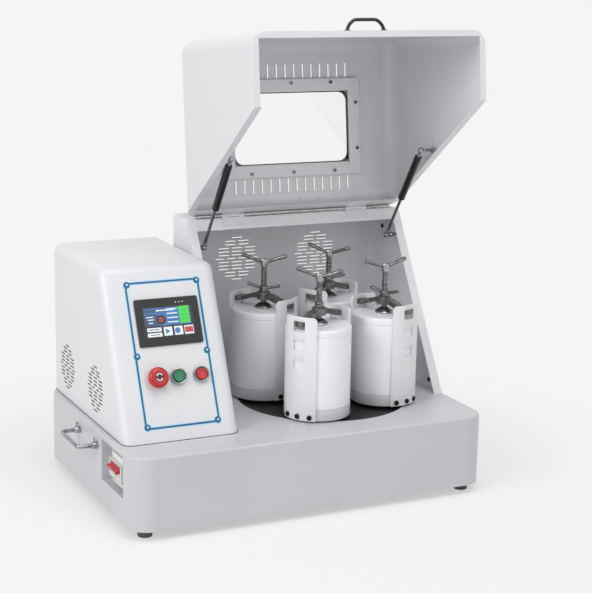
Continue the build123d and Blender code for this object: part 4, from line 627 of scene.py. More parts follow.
class NodeRepeat:
    """Geometry Nodes trees that put a small made shape on marked points."""

    @staticmethod
    def tree(name: str, sizes: dict[str, float]) -> tuple[bpy.types.NodeTree, bpy.types.Node, bpy.types.Node]:
        """Starts a tree with named size inputs and a material input."""
        tree = bpy.data.node_groups.new(name, "GeometryNodeTree")
        tree.interface.new_socket("Geometry", in_out="INPUT", socket_type="NodeSocketGeometry")
        for label, value in sizes.items():
            socket = tree.interface.new_socket(label, in_out="INPUT", socket_type="NodeSocketFloat")
            socket.default_value = value
        tree.interface.new_socket("Finish", in_out="INPUT", socket_type="NodeSocketMaterial")
        tree.interface.new_socket("Geometry", in_out="OUTPUT", socket_type="NodeSocketGeometry")
        return tree, add_node(tree, "NodeGroupInput"), add_node(tree, "NodeGroupOutput")

    @staticmethod
    def close(
        tree: bpy.types.NodeTree, start: bpy.types.Node, end: bpy.types.Node, shape: bpy.types.NodeSocket
    ) -> None:
        """Instances the shape on the points, turned to their aim, and ends the tree."""

        def marked(label: str, kind: str) -> bpy.types.NodeSocket:
            """Value that the points carry under a name."""
            made = add_node(tree, "GeometryNodeInputNamedAttribute", {"data_type": kind}, {"Name": label})
            return made.outputs["Attribute"]

        turned = add_node(
            tree,
            "FunctionNodeAlignRotationToVector",
            {"axis": "Z"},
            links={"Vector": marked("aim", "FLOAT_VECTOR")},
        )
        squared = add_node(
            tree,
            "FunctionNodeAlignRotationToVector",
            {"axis": "X", "pivot_axis": "Z"},
            links={"Rotation": turned.outputs["Rotation"], "Vector": marked("run", "FLOAT_VECTOR")},
        )
        size = add_node(
            tree, "ShaderNodeCombineXYZ", values={"Y": 1.0, "Z": 1.0}, links={"X": marked("reach", "FLOAT")}
        )
        spots = add_node(
            tree,
            "GeometryNodeInstanceOnPoints",
            links={
                "Points": start.outputs["Geometry"],
                "Instance": shape,
                "Rotation": squared.outputs["Rotation"],
                "Scale": size.outputs["Vector"],
            },
        )
        real = add_node(tree, "GeometryNodeRealizeInstances", links={"Geometry": spots.outputs["Instances"]})
        painted = add_node(
            tree,
            "GeometryNodeSetMaterial",
            links={"Geometry": real.outputs["Geometry"], "Material": start.outputs["Finish"]},
        )
        tree.links.new(painted.outputs["Geometry"], end.inputs["Geometry"])

    @classmethod
    def socket_head(cls) -> bpy.types.NodeTree:
        """Round screw head with a hexagon socket."""
        if "socket_head" in bpy.data.node_groups:
            return bpy.data.node_groups["socket_head"]
        tree, start, end = cls.tree("socket_head", {"Head Radius": 0.005, "Head Height": 0.003})
        body = add_node(
            tree,
            "GeometryNodeMeshCylinder",
            values={"Vertices": 24},
            links={"Radius": start.outputs["Head Radius"], "Depth": start.outputs["Head Height"]},
        )
        shapes = [(0.86, 0.12), (0.62, 0.0), (1.0, -0.5)]
        mesh, top = body.outputs["Mesh"], body.outputs["Top"]
        for shrink, rise in shapes:
            step = add_node(
                tree,
                "ShaderNodeMath",
                {"operation": "MULTIPLY"},
                {1: rise},
                {0: start.outputs["Head Height"]},
            )
            out = add_node(
                tree,
                "GeometryNodeExtrudeMesh",
                values={"Individual": False},
                links={"Mesh": mesh, "Selection": top, "Offset Scale": step.outputs[0]},
            )
            small = add_node(
                tree,
                "GeometryNodeScaleElements",
                values={"Scale": shrink},
                links={"Geometry": out.outputs["Mesh"], "Selection": out.outputs["Top"]},
            )
            mesh, top = small.outputs["Geometry"], out.outputs["Top"]
        cls.close(tree, start, end, mesh)
        return tree

    @classmethod
    def lip(cls) -> bpy.types.NodeTree:
        """Pressed lip beside a louvre slot, one unit long before it is stretched."""
        if "pressed_lip" in bpy.data.node_groups:
            return bpy.data.node_groups["pressed_lip"]
        tree, start, end = cls.tree("pressed_lip", {"Lip Radius": 0.0008})
        bar = add_node(
            tree,
            "GeometryNodeMeshCylinder",
            values={"Vertices": 10, "Depth": 1.0},
            links={"Radius": start.outputs["Lip Radius"]},
        )
        lying = add_node(
            tree,
            "GeometryNodeTransform",
            values={"Rotation": (0.0, pi / 2, 0.0)},
            links={"Geometry": bar.outputs["Mesh"]},
        )
        cls.close(tree, start, end, lying.outputs["Geometry"])
        return tree

    @classmethod
    def thread(cls) -> bpy.types.NodeTree:
        """Screw thread: a fine wire wound round the core."""
        if "screw_thread" in bpy.data.node_groups:
            return bpy.data.node_groups["screw_thread"]
        sizes = {"Core Radius": 0.0056, "Length": 0.06, "Turns": 34.0, "Ridge": 0.0005}
        tree, start, end = cls.tree("screw_thread", sizes)
        coil = add_node(
            tree,
            "GeometryNodeCurveSpiral",
            values={"Resolution": 20},
            links={
                "Rotations": start.outputs["Turns"],
                "Start Radius": start.outputs["Core Radius"],
                "End Radius": start.outputs["Core Radius"],
                "Height": start.outputs["Length"],
            },
        )
        ridge = add_node(
            tree,
            "GeometryNodeCurvePrimitiveCircle",
            values={"Resolution": 4},
            links={"Radius": start.outputs["Ridge"]},
        )
        wound = add_node(
            tree,
            "GeometryNodeCurveToMesh",
            values={"Fill Caps": True},
            links={"Curve": coil.outputs["Curve"], "Profile Curve": ridge.outputs["Curve"]},
        )
        cls.close(tree, start, end, wound.outputs["Mesh"])
        return tree

    @staticmethod
    def run(
        name: str,
        tree: bpy.types.NodeTree,
        points: list[Spot],
        sizes: dict[str, float],
        finish: Finish,
    ) -> bpy.types.Object:
        """Runs a tree on points and keeps the result as a plain mesh.

        Args:
            name: Name of the piece.
            tree: Geometry Nodes tree.
            points: Place, aim, run and reach of each repeat, in metres.
            sizes: Values of the tree's named inputs.
            finish: Material of the repeats.

        Returns:
            A plain mesh object.
        """
        carrier = bpy.data.meshes.new(name)
        carrier.from_pydata([p[0] for p in points], [], [])
        for label, column in (("aim", 1), ("run", 2)):
            marks = carrier.attributes.new(label, "FLOAT_VECTOR", "POINT")
            marks.data.foreach_set("vector", [c for p in points for c in p[column]])
        reach = carrier.attributes.new("reach", "FLOAT", "POINT")
        reach.data.foreach_set("value", [p[3] for p in points])
        made = bpy.data.objects.new(name, carrier)
        bpy.context.scene.collection.objects.link(made)
        modifier = made.modifiers.new("repeat", "NODES")
        modifier.node_group = tree
        wanted: dict[str, object] = {**sizes, "Finish": finish.build()}
        for item in tree.interface.items_tree:
            if item.in_out == "INPUT" and item.name in wanted:
                modifier[item.identifier] = wanted[item.name]
        graph = bpy.context.evaluated_depsgraph_get()
        made.data = bpy.data.meshes.new_from_object(made.evaluated_get(graph))
        made.modifiers.clear()
        made.data.name = name
        made.data.shade_smooth()
        made.data.set_sharp_from_angle(angle=SHARP)
        return made


def vent_slots(radius: float) -> list[tuple[float, float, float]]:
    """Louvre slots that fill a circle: centre across, centre up and length, in millimetres."""
    counts = (1, 2, 2, 3, 3, 3, 4, 3, 3, 3, 2, 2, 1)
    slots = []
    for row, count in enumerate(counts):
        up = (row - (len(counts) - 1) / 2) * 2 * radius / len(counts)
        chord = 2 * (radius**2 - up**2) ** 0.5
        length = min((chord - 6 * (count - 1)) / count, 0.5 * radius)
        for slot in range(count):
            slots.append(((slot - (count - 1) / 2) * (length + 6), up, length))
    return slots


@dataclass
class Cabinet:
    """Base cabinet with its feet, lifting handles, breaker, gland and hidden drive."""

    wall_x: float = 375.0
    handle_y: float = -4.5
    handle_z: float = 130.0
    handle_span: float = 107.0
    handle_proud: float = 39.0

    def build(self, nodes: dict[str, bpy.types.Object]) -> None:
        """Dresses the carried-over solids and adds the fine pieces."""
        # The base shell takes the coat painted a shade greyer, as painted shade for its shaded front.
        kept = {
            "base_shell": ENAMEL_BASE_SHADED, "bottom_plate": ZINC, "breaker_body": ABS_LIGHT,
            "cable_gland": NYLON_BLACK_AND_GAP_SHADE, "drive_plate": CASTING, "bearing_housing": CASTING,
            "sun_gear": GEAR, "drive_belt": RUBBER, "motor": CASTING, "inverter": NYLON_BLACK_AND_GAP_SHADE,
            "motor_pulley": CASTING, "main_spindle": GEAR, "breaker_toggle": RED, "turntable": LACQUER,
        }
        for name, finish in kept.items():
            dress(nodes[name], finish)
        self.handles()
        self.feet()
        self.breaker_marks()

    def handles(self) -> None:
        """Builds both bent lifting handles with their collars and pegs."""
        bm = bmesh.new()
        for side in (-1, 1):
            corners = [
                (self.wall_x, -self.handle_span / 2),
                (self.wall_x + self.handle_proud, -self.handle_span / 2),
                (self.wall_x + self.handle_proud, self.handle_span / 2),
                (self.wall_x, self.handle_span / 2),
            ]
            run = [Vector((side * x, self.handle_y + y, self.handle_z)) * MM for x, y in corners]
            tube(bm, bend(run, 12), 4.0)
            for end in (-1, 1):
                foot_y = self.handle_y + end * self.handle_span / 2
                foot = Vector((side * self.wall_x, foot_y, self.handle_z)) * MM
                collar = [(0, 0), (8, 0), (8, 1.6), (6.6, 2.4), (6.4, 10.2), (5.6, 11.6), (4, 12), (0, 12)]
                lathe("collar", collar, along(foot, Vector((side, 0, 0))), 32, bm)
                peg = [(0, 5), (1.8, 5), (1.6, 12.4), (2.6, 13.2), (2.8, 14.6), (2.0, 15.4), (0, 15.5)]
                lathe("peg", peg, Matrix.Translation(foot + Vector((side * 6 * MM, 0, 0))), 20, bm)
        place_piece(from_bmesh("lifting_handles", bm), Body.CABINET, CHROME, ("side_handles",))

    def feet(self) -> None:
        """Builds the four ribbed rubber feet."""
        bm = bmesh.new()
        profile = [(0, 0), (11.8, 0), (13.2, 0.6), (14, 2.4), (14, 15.5)]
        profile += [(13.4, 16.2), (13.4, 17.4), (13.9, 18), (13.9, 20), (0, 20)]
        for x in (-340, 340):
            for y in (-225, 225):
                lathe("foot", profile, stand(x, y), 40, bm)
        place_piece(from_bmesh("rubber_feet", bm), Body.CABINET, RUBBER, ("feet",))

    def breaker_marks(self) -> None:
        """Adds the blank label, the pole joint and the two cover screws of the breaker."""
        side = Matrix(((0, 0, -1, -0.353), (-1, 0, 0, -0.153), (0, 1, 0, 0.1085), (0, 0, 0, 1)))
        label = bmesh.new()
        prism(label, rounded(0, 21.5, 56, 10, 1.5), 12.95, 13.3, side)
        place_piece(from_bmesh("breaker_label", label), Body.CABINET, INK_WHITE)
        gap = bmesh.new()
        prism(gap, rounded(0, -13, 0.8, 12, 0.2), 18.9, 19.15, side)
        prism(gap, rounded(0, 13, 60, 0.7, 0.2), 18.9, 19.15, side)
        place_piece(from_bmesh("breaker_joint", gap), Body.CABINET, INK_BLACK)
        spots = [(side @ (Vector((x, -24, 12.6)) * MM), -X_AXIS, Y_AXIS, 1.0) for x in (-28, 28)]
        sizes = {"Head Radius": 0.0024, "Head Height": 0.0012}
        heads = NodeRepeat.run("breaker_screws", NodeRepeat.socket_head(), spots, sizes, CHROME)
        place_piece(heads, Body.CABINET, CHROME)


@dataclass
class ControlBox:
    """Leaning control box with its print, operator panel and buttons."""

    panel_x: float = -240.0
    panel_s: float = 228.0
    button_s: float = 121.0
    foot_z: float = 160.4
    field_wide: float = 1.07
    field_tall: float = 1.05
    print_left: float = -317.0
    print_right: float = -166.0
    print_low: float = 26.0
    print_high: float = 309.0

    def build(self, nodes: dict[str, bpy.types.Object]) -> None:
        """Dresses the box and builds everything on its front."""
        dress(nodes["control_box_shell"], ENAMEL)
        dress(nodes["touch_panel"], ABS_DARK)
        dress(nodes["button_collars"], CHROME)
        self.foot_shadow_strip(nodes["control_box_shell"])
        self.border()
        self.screen()
        self.buttons()
        self.louvres()

    def foot_shadow_strip(self, shell: bpy.types.Object) -> None:
        """Lays a thin dark strip round the foot of the box, a painted shadow where the box meets the base."""
        low = [v.co / MM for v in shell.data.vertices if v.co.z < self.foot_z * MM]
        spots = sorted({(round(co.x, 2), round(co.y, 2)) for co in low})
        hull: Outline = []
        for run in (spots, spots[::-1]):
            part: Outline = []
            for x, y in run:
                while len(part) > 1 and (part[-1][0] - part[-2][0]) * (y - part[-2][1]) <= (
                    part[-1][1] - part[-2][1]
                ) * (x - part[-2][0]):
                    part.pop()
                part.append((x, y))
            hull += part[:-1]
        mid_x = (min(p[0] for p in hull) + max(p[0] for p in hull)) / 2
        mid_y = (min(p[1] for p in hull) + max(p[1] for p in hull)) / 2
        wide, deep = max(p[0] for p in hull) - mid_x, max(p[1] for p in hull) - mid_y

        def grown(by: float) -> Outline:
            """Foot outline moved out by a distance."""
            along_x, along_y = 1 + by / wide, 1 + by / deep
            return [(mid_x + (x - mid_x) * along_x, mid_y + (y - mid_y) * along_y) for x, y in hull]

        bm = bmesh.new()
        ring_prism(bm, grown(0.7), grown(-0.3), 160.02, 160.9, Matrix.Identity(4))
        # The dark strip is painted shadow at the box's foot.
        place_piece(from_bmesh("box_foot_painted_shadow", bm), Body.CABINET, SEAL_AND_FOOT_SHADOW)

    def flat(
        self, name: str, outlines: list[Outline], low: float, high: float, finish: Finish
    ) -> None:
        """Adds thin prints or keys on the leaning front."""
        bm = bmesh.new()
        for outline in outlines:
            prism(bm, outline, low, high, PANEL)
        place_piece(from_bmesh(name, bm), Body.CABINET, finish)

    def border(self) -> None:
        """Prints the blue frame with its pale halo and ringed dots, and paints a pale highlight on each dot.
        """
        mid_x, mid_s = (self.print_left + self.print_right) / 2, (self.print_low + self.print_high) / 2
        wide, tall = self.print_right - self.print_left, self.print_high - self.print_low
        for name, grow, width, top, finish in (
            ("print_halo", 2.4, 8.6, 0.08, INK_PALE_AND_HIGHLIGHT),
            ("print_line", 0.0, 4.0, 0.14, INK_BLUE),
        ):
            bm = bmesh.new()
            outer = rounded(mid_x, mid_s, wide + 2 * grow, tall + 2 * grow, 2.0)
            inner = rounded(mid_x, mid_s, wide + 2 * grow - 2 * width, tall + 2 * grow - 2 * width, 1.0)
            ring_prism(bm, outer, inner, 0.0, top, PANEL)
            place_piece(from_bmesh(name, bm), Body.CABINET, finish)
        inset = 4.6
        spots = [
            (x, s)
            for x in (self.print_left + inset, self.print_right - inset)
            for s in (self.print_low + inset, 166.0, self.print_high - inset)
        ]
        self.flat("print_dot_halos", [disc(x, s, 8.6) for x, s in spots], 0.0, 0.07, INK_PALE_AND_HIGHLIGHT)
        self.flat("print_dots", [disc(x, s, 6.6) for x, s in spots], 0.0, 0.16, INK_BLUE)
        # Off-centre pale spots on the dots are painted highlights.
        highlights = [disc(x + 0.8, s + 0.8, 2.0) for x, s in spots]
        self.flat("print_dot_highlights", highlights, 0.0, 0.2, INK_PALE_AND_HIGHLIGHT)

    def screen(self) -> None:
        """Builds the lit display with plain generic fields and keys."""
        x0, s0 = self.panel_x - 51.0, self.panel_s - 30.0
        glass = 3.96

        def box(left: float, foot: float, width: float, height: float, radius: float = 0.8) -> Outline:
            """Field at a place of the display, from its lower left corner."""
            middle_x = self.panel_x + (left + width / 2 - 50.0) * self.field_wide
            middle_s = self.panel_s + (foot + height / 2 - 29.2) * self.field_tall
            return rounded(middle_x, middle_s, width * self.field_wide, height * self.field_tall, radius, 3)

        back = [rounded(self.panel_x, self.panel_s, 101.4, 59.4, 0.8, 3)]
        self.flat("display_back", back, glass, glass + 0.03, GLASS_DARK)
        self.flat("display_field", [box(5, 22, 87, 33)], glass, glass + 0.06, GLASS_BLUE)
        corners = [box(5, 22, 26, 22), box(5, 47, 40, 6)]
        self.flat("display_corner", corners, glass, glass + 0.08, GLASS_NAVY)
        self.flat("display_dial", [disc(x0 + 36, s0 + 34, 9.5)], glass, glass + 0.1, GLASS_DARK)
        petals = [disc(x0 + 36 + 3.6 * cos(a), s0 + 34 + 3.6 * sin(a), 2.3, 12) for a in (0.6, 2.2, 3.7, 5.3)]
        self.flat("display_petals", petals, glass, glass + 0.12, GLASS_RED)
        greens = [box(71, 24.0 + 8 * k, 19.5, 7.4) for k in range(4)]
        self.flat("display_values", greens, glass, glass + 0.1, GLASS_GREEN)
        bars = [box(48, 26.5 + 8 * k, 20, 2.0, 0.5) for k in range(4)]
        bars += [box(8, 38, 14, 1.8, 0.5), box(11, 33, 12, 1.8, 0.5)]
        bars += [box(12, 27, 8, 1.8, 0.5), box(28, 49, 34, 2.2, 0.5)]
        keys = [box(7, 12, 27, 7), box(7, 2.5, 27, 7), box(38, 3, 16, 16), box(58, 3, 16, 16)]
        self.flat("display_keys", keys + bars, glass, glass + 0.1, GLASS_WHITE)
        self.flat("display_key_red", [box(77, 3, 17.5, 16)], glass, glass + 0.09, GLASS_WHITE)
        self.flat("display_key_red_face", [box(78, 6, 15.5, 10.5)], glass, glass + 0.12, GLASS_RED)
        play = [(x0 + 42, s0 + 5.5), (x0 + 51.5, s0 + 11), (x0 + 42, s0 + 16.5)]
        eighths = [pi / 8 + k * pi / 4 for k in range(8)]
        stop = [(x0 + 66 + 6 * cos(a), s0 + 11 + 6 * sin(a)) for a in eighths]
        self.flat("display_signs", [play, stop], glass, glass + 0.14, GLASS_BLUE)
        lines = [box(10, 14.8, 20, 1.4, 0.3), box(12, 5.3, 18, 1.4, 0.3)]
        self.flat("display_lines", lines, glass, glass + 0.13, ABS_DARK)
        lamps = [disc(x0 + 70 + 7 * k, s0 + 66, 1.1, 12) for k in range(3)]
        self.flat("panel_lamps", lamps, 3.9, 4.15, GLASS_WHITE)

    def buttons(self) -> None:
        """Builds the collars' bright rings, a black ring of painted shade in each gap, two flat buttons and
        the mushroom.
        """
        rings = bmesh.new()
        ring = [(13.1, 3.4), (15.8, 3.4), (15.8, 7.0), (15.2, 8.0), (14.0, 8.3), (13.1, 7.9)]
        for x in (-237.6, -191.5):
            lathe("ring", ring, PANEL @ stand(x, self.button_s), 64, rings)
        place_piece(from_bmesh("button_rings", rings), Body.CABINET, CHROME)
        # A black ring fills the gap between cap and collar as painted shade.
        gap_shade = bmesh.new()
        dark = [(11.4, 3.4), (13.1, 3.4), (13.1, 7.9), (12.6, 8.2), (11.4, 8.2)]
        for x in (-237.6, -191.5):
            lathe("gap", dark, PANEL @ stand(x, self.button_s), 64, gap_shade)
        place_piece(from_bmesh("button_gap_shade", gap_shade), Body.CABINET, NYLON_BLACK_AND_GAP_SHADE)
        cap = [(0, 3.4), (11.2, 3.4), (11.2, 8.6), (10.6, 9.6), (9.2, 9.8), (8.6, 9.5), (4, 9.3), (0, 9.25)]
        for name, x, body, slot, finish in (
            ("start", -237.6, Body.START, "green_plastic", GREEN),
            ("stop", -191.5, Body.STOP, "red_plastic", RED),
        ):
            piece = lathe(f"{name}_cap", cap, PANEL @ stand(x, self.button_s), 64)
            place_piece(piece, body, finish, (f"{name}_button",))
        place = PANEL @ stand(-281, self.button_s)
        mushroom = [
            (0, 3.6), (3.9, 3.6), (3.9, 7.9), (9, 8.0), (17, 8.2), (19.2, 9.2), (20, 11), (20, 14.5),
            (19.2, 17.2), (17, 19.4),
            (13.5, 20.7), (10.5, 21), (9.6, 20.6), (9.2, 19.8), (0, 19.8),
        ]
        cap = lathe("mushroom_cap", mushroom, place, 72)
        place_piece(cap, Body.ESTOP, RED, ("estop_button",))
        marks = bmesh.new()
        prism(marks, disc(0, 0, 8.9, 32), 19.7, 20.0, place)
        place_piece(from_bmesh("mushroom_disc", marks), Body.ESTOP, RED_DEEP)
        arrows = bmesh.new()
        for start in (25, 205):
            arc = [radians(start + k * 12) for k in range(10)]
            outline = [(7.4 * cos(a), 7.4 * sin(a)) for a in arc]
            outline += [(5.4 * cos(a), 5.4 * sin(a)) for a in arc[::-1]]
            prism(arrows, outline, 19.9, 20.25, place)
            tip = radians(start + 112)
            corners = ((8.0, tip), (3.9, tip), (5.9, tip + 0.45))
            point = [(reach * cos(a), reach * sin(a)) for reach, a in corners]
            prism(arrows, point[::-1], 19.9, 20.25, place)
        place_piece(from_bmesh("mushroom_arrows", arrows), Body.ESTOP, INK_WHITE)

    def louvres(self) -> None:
        """Adds pressed lips over the louvre slots in the box's left side."""
        points = []
        for middle in (164.0, -11.5):
            for across, up, length in vent_slots(47.0):
                spot = Vector((-362.4, middle + across, 228.0 + up + 2.3)) * MM
                points.append((spot, -X_AXIS, Y_AXIS, length * MM))
        lips = NodeRepeat.run("box_louvre_lips", NodeRepeat.lip(), points, {"Lip Radius": 0.00045}, ENAMEL)
        place_piece(lips, Body.CABINET, ENAMEL)


@dataclass
class Housing:
    """Rear housing behind the jars, with its louvres, hinge leaves and studs."""

    back_y: float = 218.0
    middle: float = 126.5

    def build(self, nodes: dict[str, bpy.types.Object]) -> None:
        """Dresses the housing and adds lips, bolts and the studs' chrome balls."""
        # The housing takes the inner coat painted lighter, as painted light.
        dress(nodes["rear_housing"], ENAMEL_INSIDE_LIT)
        dress(nodes["hinge_leaves_housing"], ENAMEL)
        dress(nodes["strut_studs"], CHROME)
        points = []
        for side in (-1, 1):
            for across, up, length in vent_slots(49.0):
                x, z = self.middle + side * 93.0 + across, 414.0 + up - 1.5
                for y, aim in ((self.back_y - 0.1, -Y_AXIS), (self.back_y + 2.1, Y_AXIS)):
                    points.append((Vector((x, y, z)) * MM, aim, X_AXIS, length * MM))
        lips = NodeRepeat.run("housing_louvre_lips", NodeRepeat.lip(), points, {"Lip Radius": 0.0011}, ENAMEL)
        place_piece(lips, Body.CABINET, ENAMEL)
        bolts = [
            (Vector((x, y, z)) * MM, X_AXIS * aim, Y_AXIS, 1.0)
            for x, aim in ((370.6, -1), (-117.6, 1))
            for y, z in ((-34, 176), (190, 176), (190, 470))
        ]
        sizes = {"Head Radius": 0.0045, "Head Height": 0.003}
        heads = NodeRepeat.run("housing_bolts", NodeRepeat.socket_head(), bolts, sizes, BLACK_OXIDE_AND_BORE_SHADE)
        place_piece(heads, Body.CABINET, BLACK_OXIDE_AND_BORE_SHADE)
        self.balls()

    def balls(self) -> None:
        """Adds the chrome balls on the housing's strut studs."""
        bm = bmesh.new()
        for x, side in ((-86.0, -1), (339.0, 1)):
            lathe("ball", [(0, -6), *ball(6.2)[1:]], stand(x + side * 12, 115.0, 464.6), 32, bm)
        place_piece(from_bmesh("housing_stud_balls", bm), Body.CABINET, CHROME)


@dataclass
class Hood:
    """Hinged hood with its window, grip, slots, hinge leaves and stiffener."""

    window_x: float = 126.5
    window_y: float = -45.0
    top: float = 533.0

    def build(self, nodes: dict[str, bpy.types.Object]) -> None:
        """Dresses the shell and builds the window, grip and small parts."""
        dress(nodes["lid_shell"], ENAMEL)
        dress(nodes["hinge_leaves_lid"], ENAMEL)
        dress(nodes["window_pane"], ACRYLIC)
        self.window(nodes["window_frame"])
        self.grip()
        self.slot_lips()
        self.hinge()
        self.stiffener()

    def window(self, node: bpy.types.Object) -> None:
        """Rebuilds the frame bars with soft edges, and the black seal they clamp."""
        parts = islands(node)
        parts.sort(key=lambda part: len(part.verts))
        gasket = parts.pop()
        bars = from_bmesh("window_bars", joined(parts), 0.6)
        # The frame bars take the inner coat painted lighter, as painted light.
        place_piece(bars, Body.HOOD, ENAMEL_INSIDE_LIT, ("window_frame",))
        place_piece(from_bmesh("window_gasket", gasket), Body.HOOD, SEAL_AND_FOOT_SHADOW)
        bm = bmesh.new()
        outer = rounded(self.window_x, self.window_y, 264.6, 149.6, 11.8)
        inner = rounded(self.window_x, self.window_y, 260.0, 145.0, 19.0)
        ring_prism(bm, outer, inner, self.top - 2.0, self.top + 0.6, OPEN)
        place_piece(from_bmesh("window_seal", bm), Body.HOOD, SEAL_AND_FOOT_SHADOW)
        places = [(218.5, -138.4), (276.2, -94.9), (277.7, 1.6), (222.8, 47.0)]
        places += [(self.window_x, 47.0), (self.window_x, -138.4)]
        places += [(2 * self.window_x - x, y) for x, y in places[:4]]
        down, run = OPEN.to_3x3() @ -Z_AXIS, X_AXIS
        under = self.top - 2.0 - 3.0 - 3.05
        spots = [(OPEN @ (Vector((x, y, under - 0.6)) * MM), down, run, 1.0) for x, y in places]
        sizes = {"Head Radius": 0.0038, "Head Height": 0.0018}
        heads = NodeRepeat.run("window_screws", NodeRepeat.socket_head(), spots, sizes, STEEL_REFLECTION_MOTTLED)
        place_piece(heads, Body.HOOD, STEEL_REFLECTION_MOTTLED)

    def grip(self) -> None:
        """Builds the bowed black grip with its two pads."""
        bm = bmesh.new()
        arc = [radians(7.5 * k) for k in range(25)]
        bow = [(-39 * cos(a), -21.2 * min(1.0, 1.22 * sin(a)) - 0.6 * sin(a)) for a in arc]
        tube(bm, [OPEN @ (Vector((self.window_x + x, -225.5 + y, 190.0)) * MM) for x, y in bow], 3.3)
        for x in (-39, 39):
            start = OPEN @ (Vector((self.window_x + x, -225.5, 190.0)) * MM)
            pad = [(0, 0), (7, 0), (7, 1.2), (6.2, 2.2), (3.6, 3.4), (0, 3.6)]
            lathe("pad", pad, along(start, OPEN.to_3x3() @ -Y_AXIS), 32, bm)
        place_piece(from_bmesh("hood_grip", bm), Body.HOOD, GLOSS_BLACK, ("lid_handle",))

    def slot_lips(self) -> None:
        """Adds pressed lips inside beside the hood's air slots."""
        points = []
        inward, run = OPEN.to_3x3() @ -Z_AXIS, OPEN.to_3x3() @ Y_AXIS
        for row in (-163.0, 74.0):
            for k in range(14):
                for side in (-1, 1):
                    x = self.window_x + (k - 6.5) * 20.0 + side * 2.4
                    points.append((OPEN @ (Vector((x, row, self.top - 2.0)) * MM), inward, run, 0.025))
        # The lips take the inner coat painted lighter, as painted light.
        lips = NodeRepeat.run("hood_slot_lips", NodeRepeat.lip(), points, {"Lip Radius": 0.0013}, ENAMEL_INSIDE_LIT)
        place_piece(lips, Body.HOOD, ENAMEL_INSIDE_LIT)

    def hinge(self) -> None:
        """Adds the rod that runs on the hinge line beside the hinges, painted bright as a highlight."""
        bm = bmesh.new()
        for left, right in ((-120 + 22, -16 - 26), (-16 + 26, 269 - 26), (269 + 26, 373 - 22)):
            tube(bm, [Vector((x, 129.5, 525.0)) * MM for x in (left, right)], 3.4, 32)
        # The rod's bright steel colour is a painted highlight.
        place_piece(from_bmesh("hinge_rolled_edge", bm), Body.CABINET, STEEL_PAINTED_HIGHLIGHT)

    def stiffener(self) -> None:
        """Adds the strip that backs the hinges, with its flush rivets."""
        bm = bmesh.new()
        prism(bm, rounded(self.window_x, 104.0, 462, 26, 2), self.top - 3.3, self.top - 2.0, OPEN)
        strip = from_bmesh("hinge_strip", bm, 0.4)
        # The strip and its rivets take the inner coat painted lighter, as painted light.
        place_piece(strip, Body.HOOD, ENAMEL_INSIDE_LIT)
        inward = OPEN.to_3x3() @ -Z_AXIS
        spots = [
            (OPEN @ (Vector((x, 102.5, self.top - 3.6)) * MM), inward, X_AXIS, 1.0)
            for x in (-62, -39, 22, 65, 144, 188, 229, 314)
        ]
        sizes = {"Head Radius": 0.0036, "Head Height": 0.001}
        heads = NodeRepeat.run("hinge_strip_rivets", NodeRepeat.socket_head(), spots, sizes, ENAMEL_INSIDE_LIT)
        place_piece(heads, Body.HOOD, ENAMEL_INSIDE_LIT)


@dataclass
class Struts:
    """Pair of gas struts: black tubes, bright rods and ball ends."""

    xs: tuple[float, float] = (-86.0, 339.0)

    def build(self) -> None:
        """Builds both struts in their open place."""
        lid_ball = Vector((0, -20.685, 664.398))
        rod_ball = Vector((0, 115.0, 464.6))
        direction = (rod_ball - lid_ball).normalized()
        tubes, ends, rods, highlights = bmesh.new(), bmesh.new(), bmesh.new(), bmesh.new()
        for side, x in zip((-1, 1), self.xs):
            top = Vector((x, lid_ball.y, lid_ball.z)) * MM
            low = Vector((x, rod_ball.y, rod_ball.z)) * MM
            shell = [(0, 16), (6.2, 16), (7.4, 17.6), (7.5, 20), (7.5, 126), (7.1, 127), (7.1, 129)]
            shell += [(7.5, 130), (7.5, 133), (6.4, 135), (0, 135)]
            lathe("tube", shell, along(top, direction), 40, tubes)
            neck = [(0, 3), (4.4, 3), (3.6, 7), (3.6, 12), (4.6, 13), (4.6, 16.5), (0, 16.5)]
            lathe("neck", neck, along(top, direction), 28, ends)
            lathe("ball", ball(6.3), Matrix.Translation(top), 32, ends)
            stud = [(0, 4), (3, 4), (3, 24.4), (6.4, 24.8), (6.5, 26.4), (5.8, 27.3), (0, 27.3)]
            lathe("stud", stud, along(top, X_AXIS * side), 28, ends)
            lathe("rod", [(0, 5), (3.2, 5), (3.2, 127), (0, 127)], along(low, -direction), 24, rods)
            foot = [(0, 3), (4.4, 3), (3.7, 6), (3.7, 12), (4.2, 12.6), (3.4, 14), (0, 14)]
            lathe("foot", foot, along(low, -direction), 28, highlights)
            lathe("ball", ball(6.3), Matrix.Translation(low), 32, highlights)
        made = from_bmesh("strut_tubes", tubes)
        place_piece(made, Body.CYLINDERS, GLOSS_BLACK, ("strut_cylinders",))
        place_piece(from_bmesh("strut_tube_ends", ends), Body.CYLINDERS, CHROME)
        place_piece(from_bmesh("strut_rod_bars", rods), Body.RODS, STEEL_REFLECTION_MOTTLED, ("strut_rods",))
        place_piece(from_bmesh("strut_rod_ends", highlights), Body.RODS, CHROME)


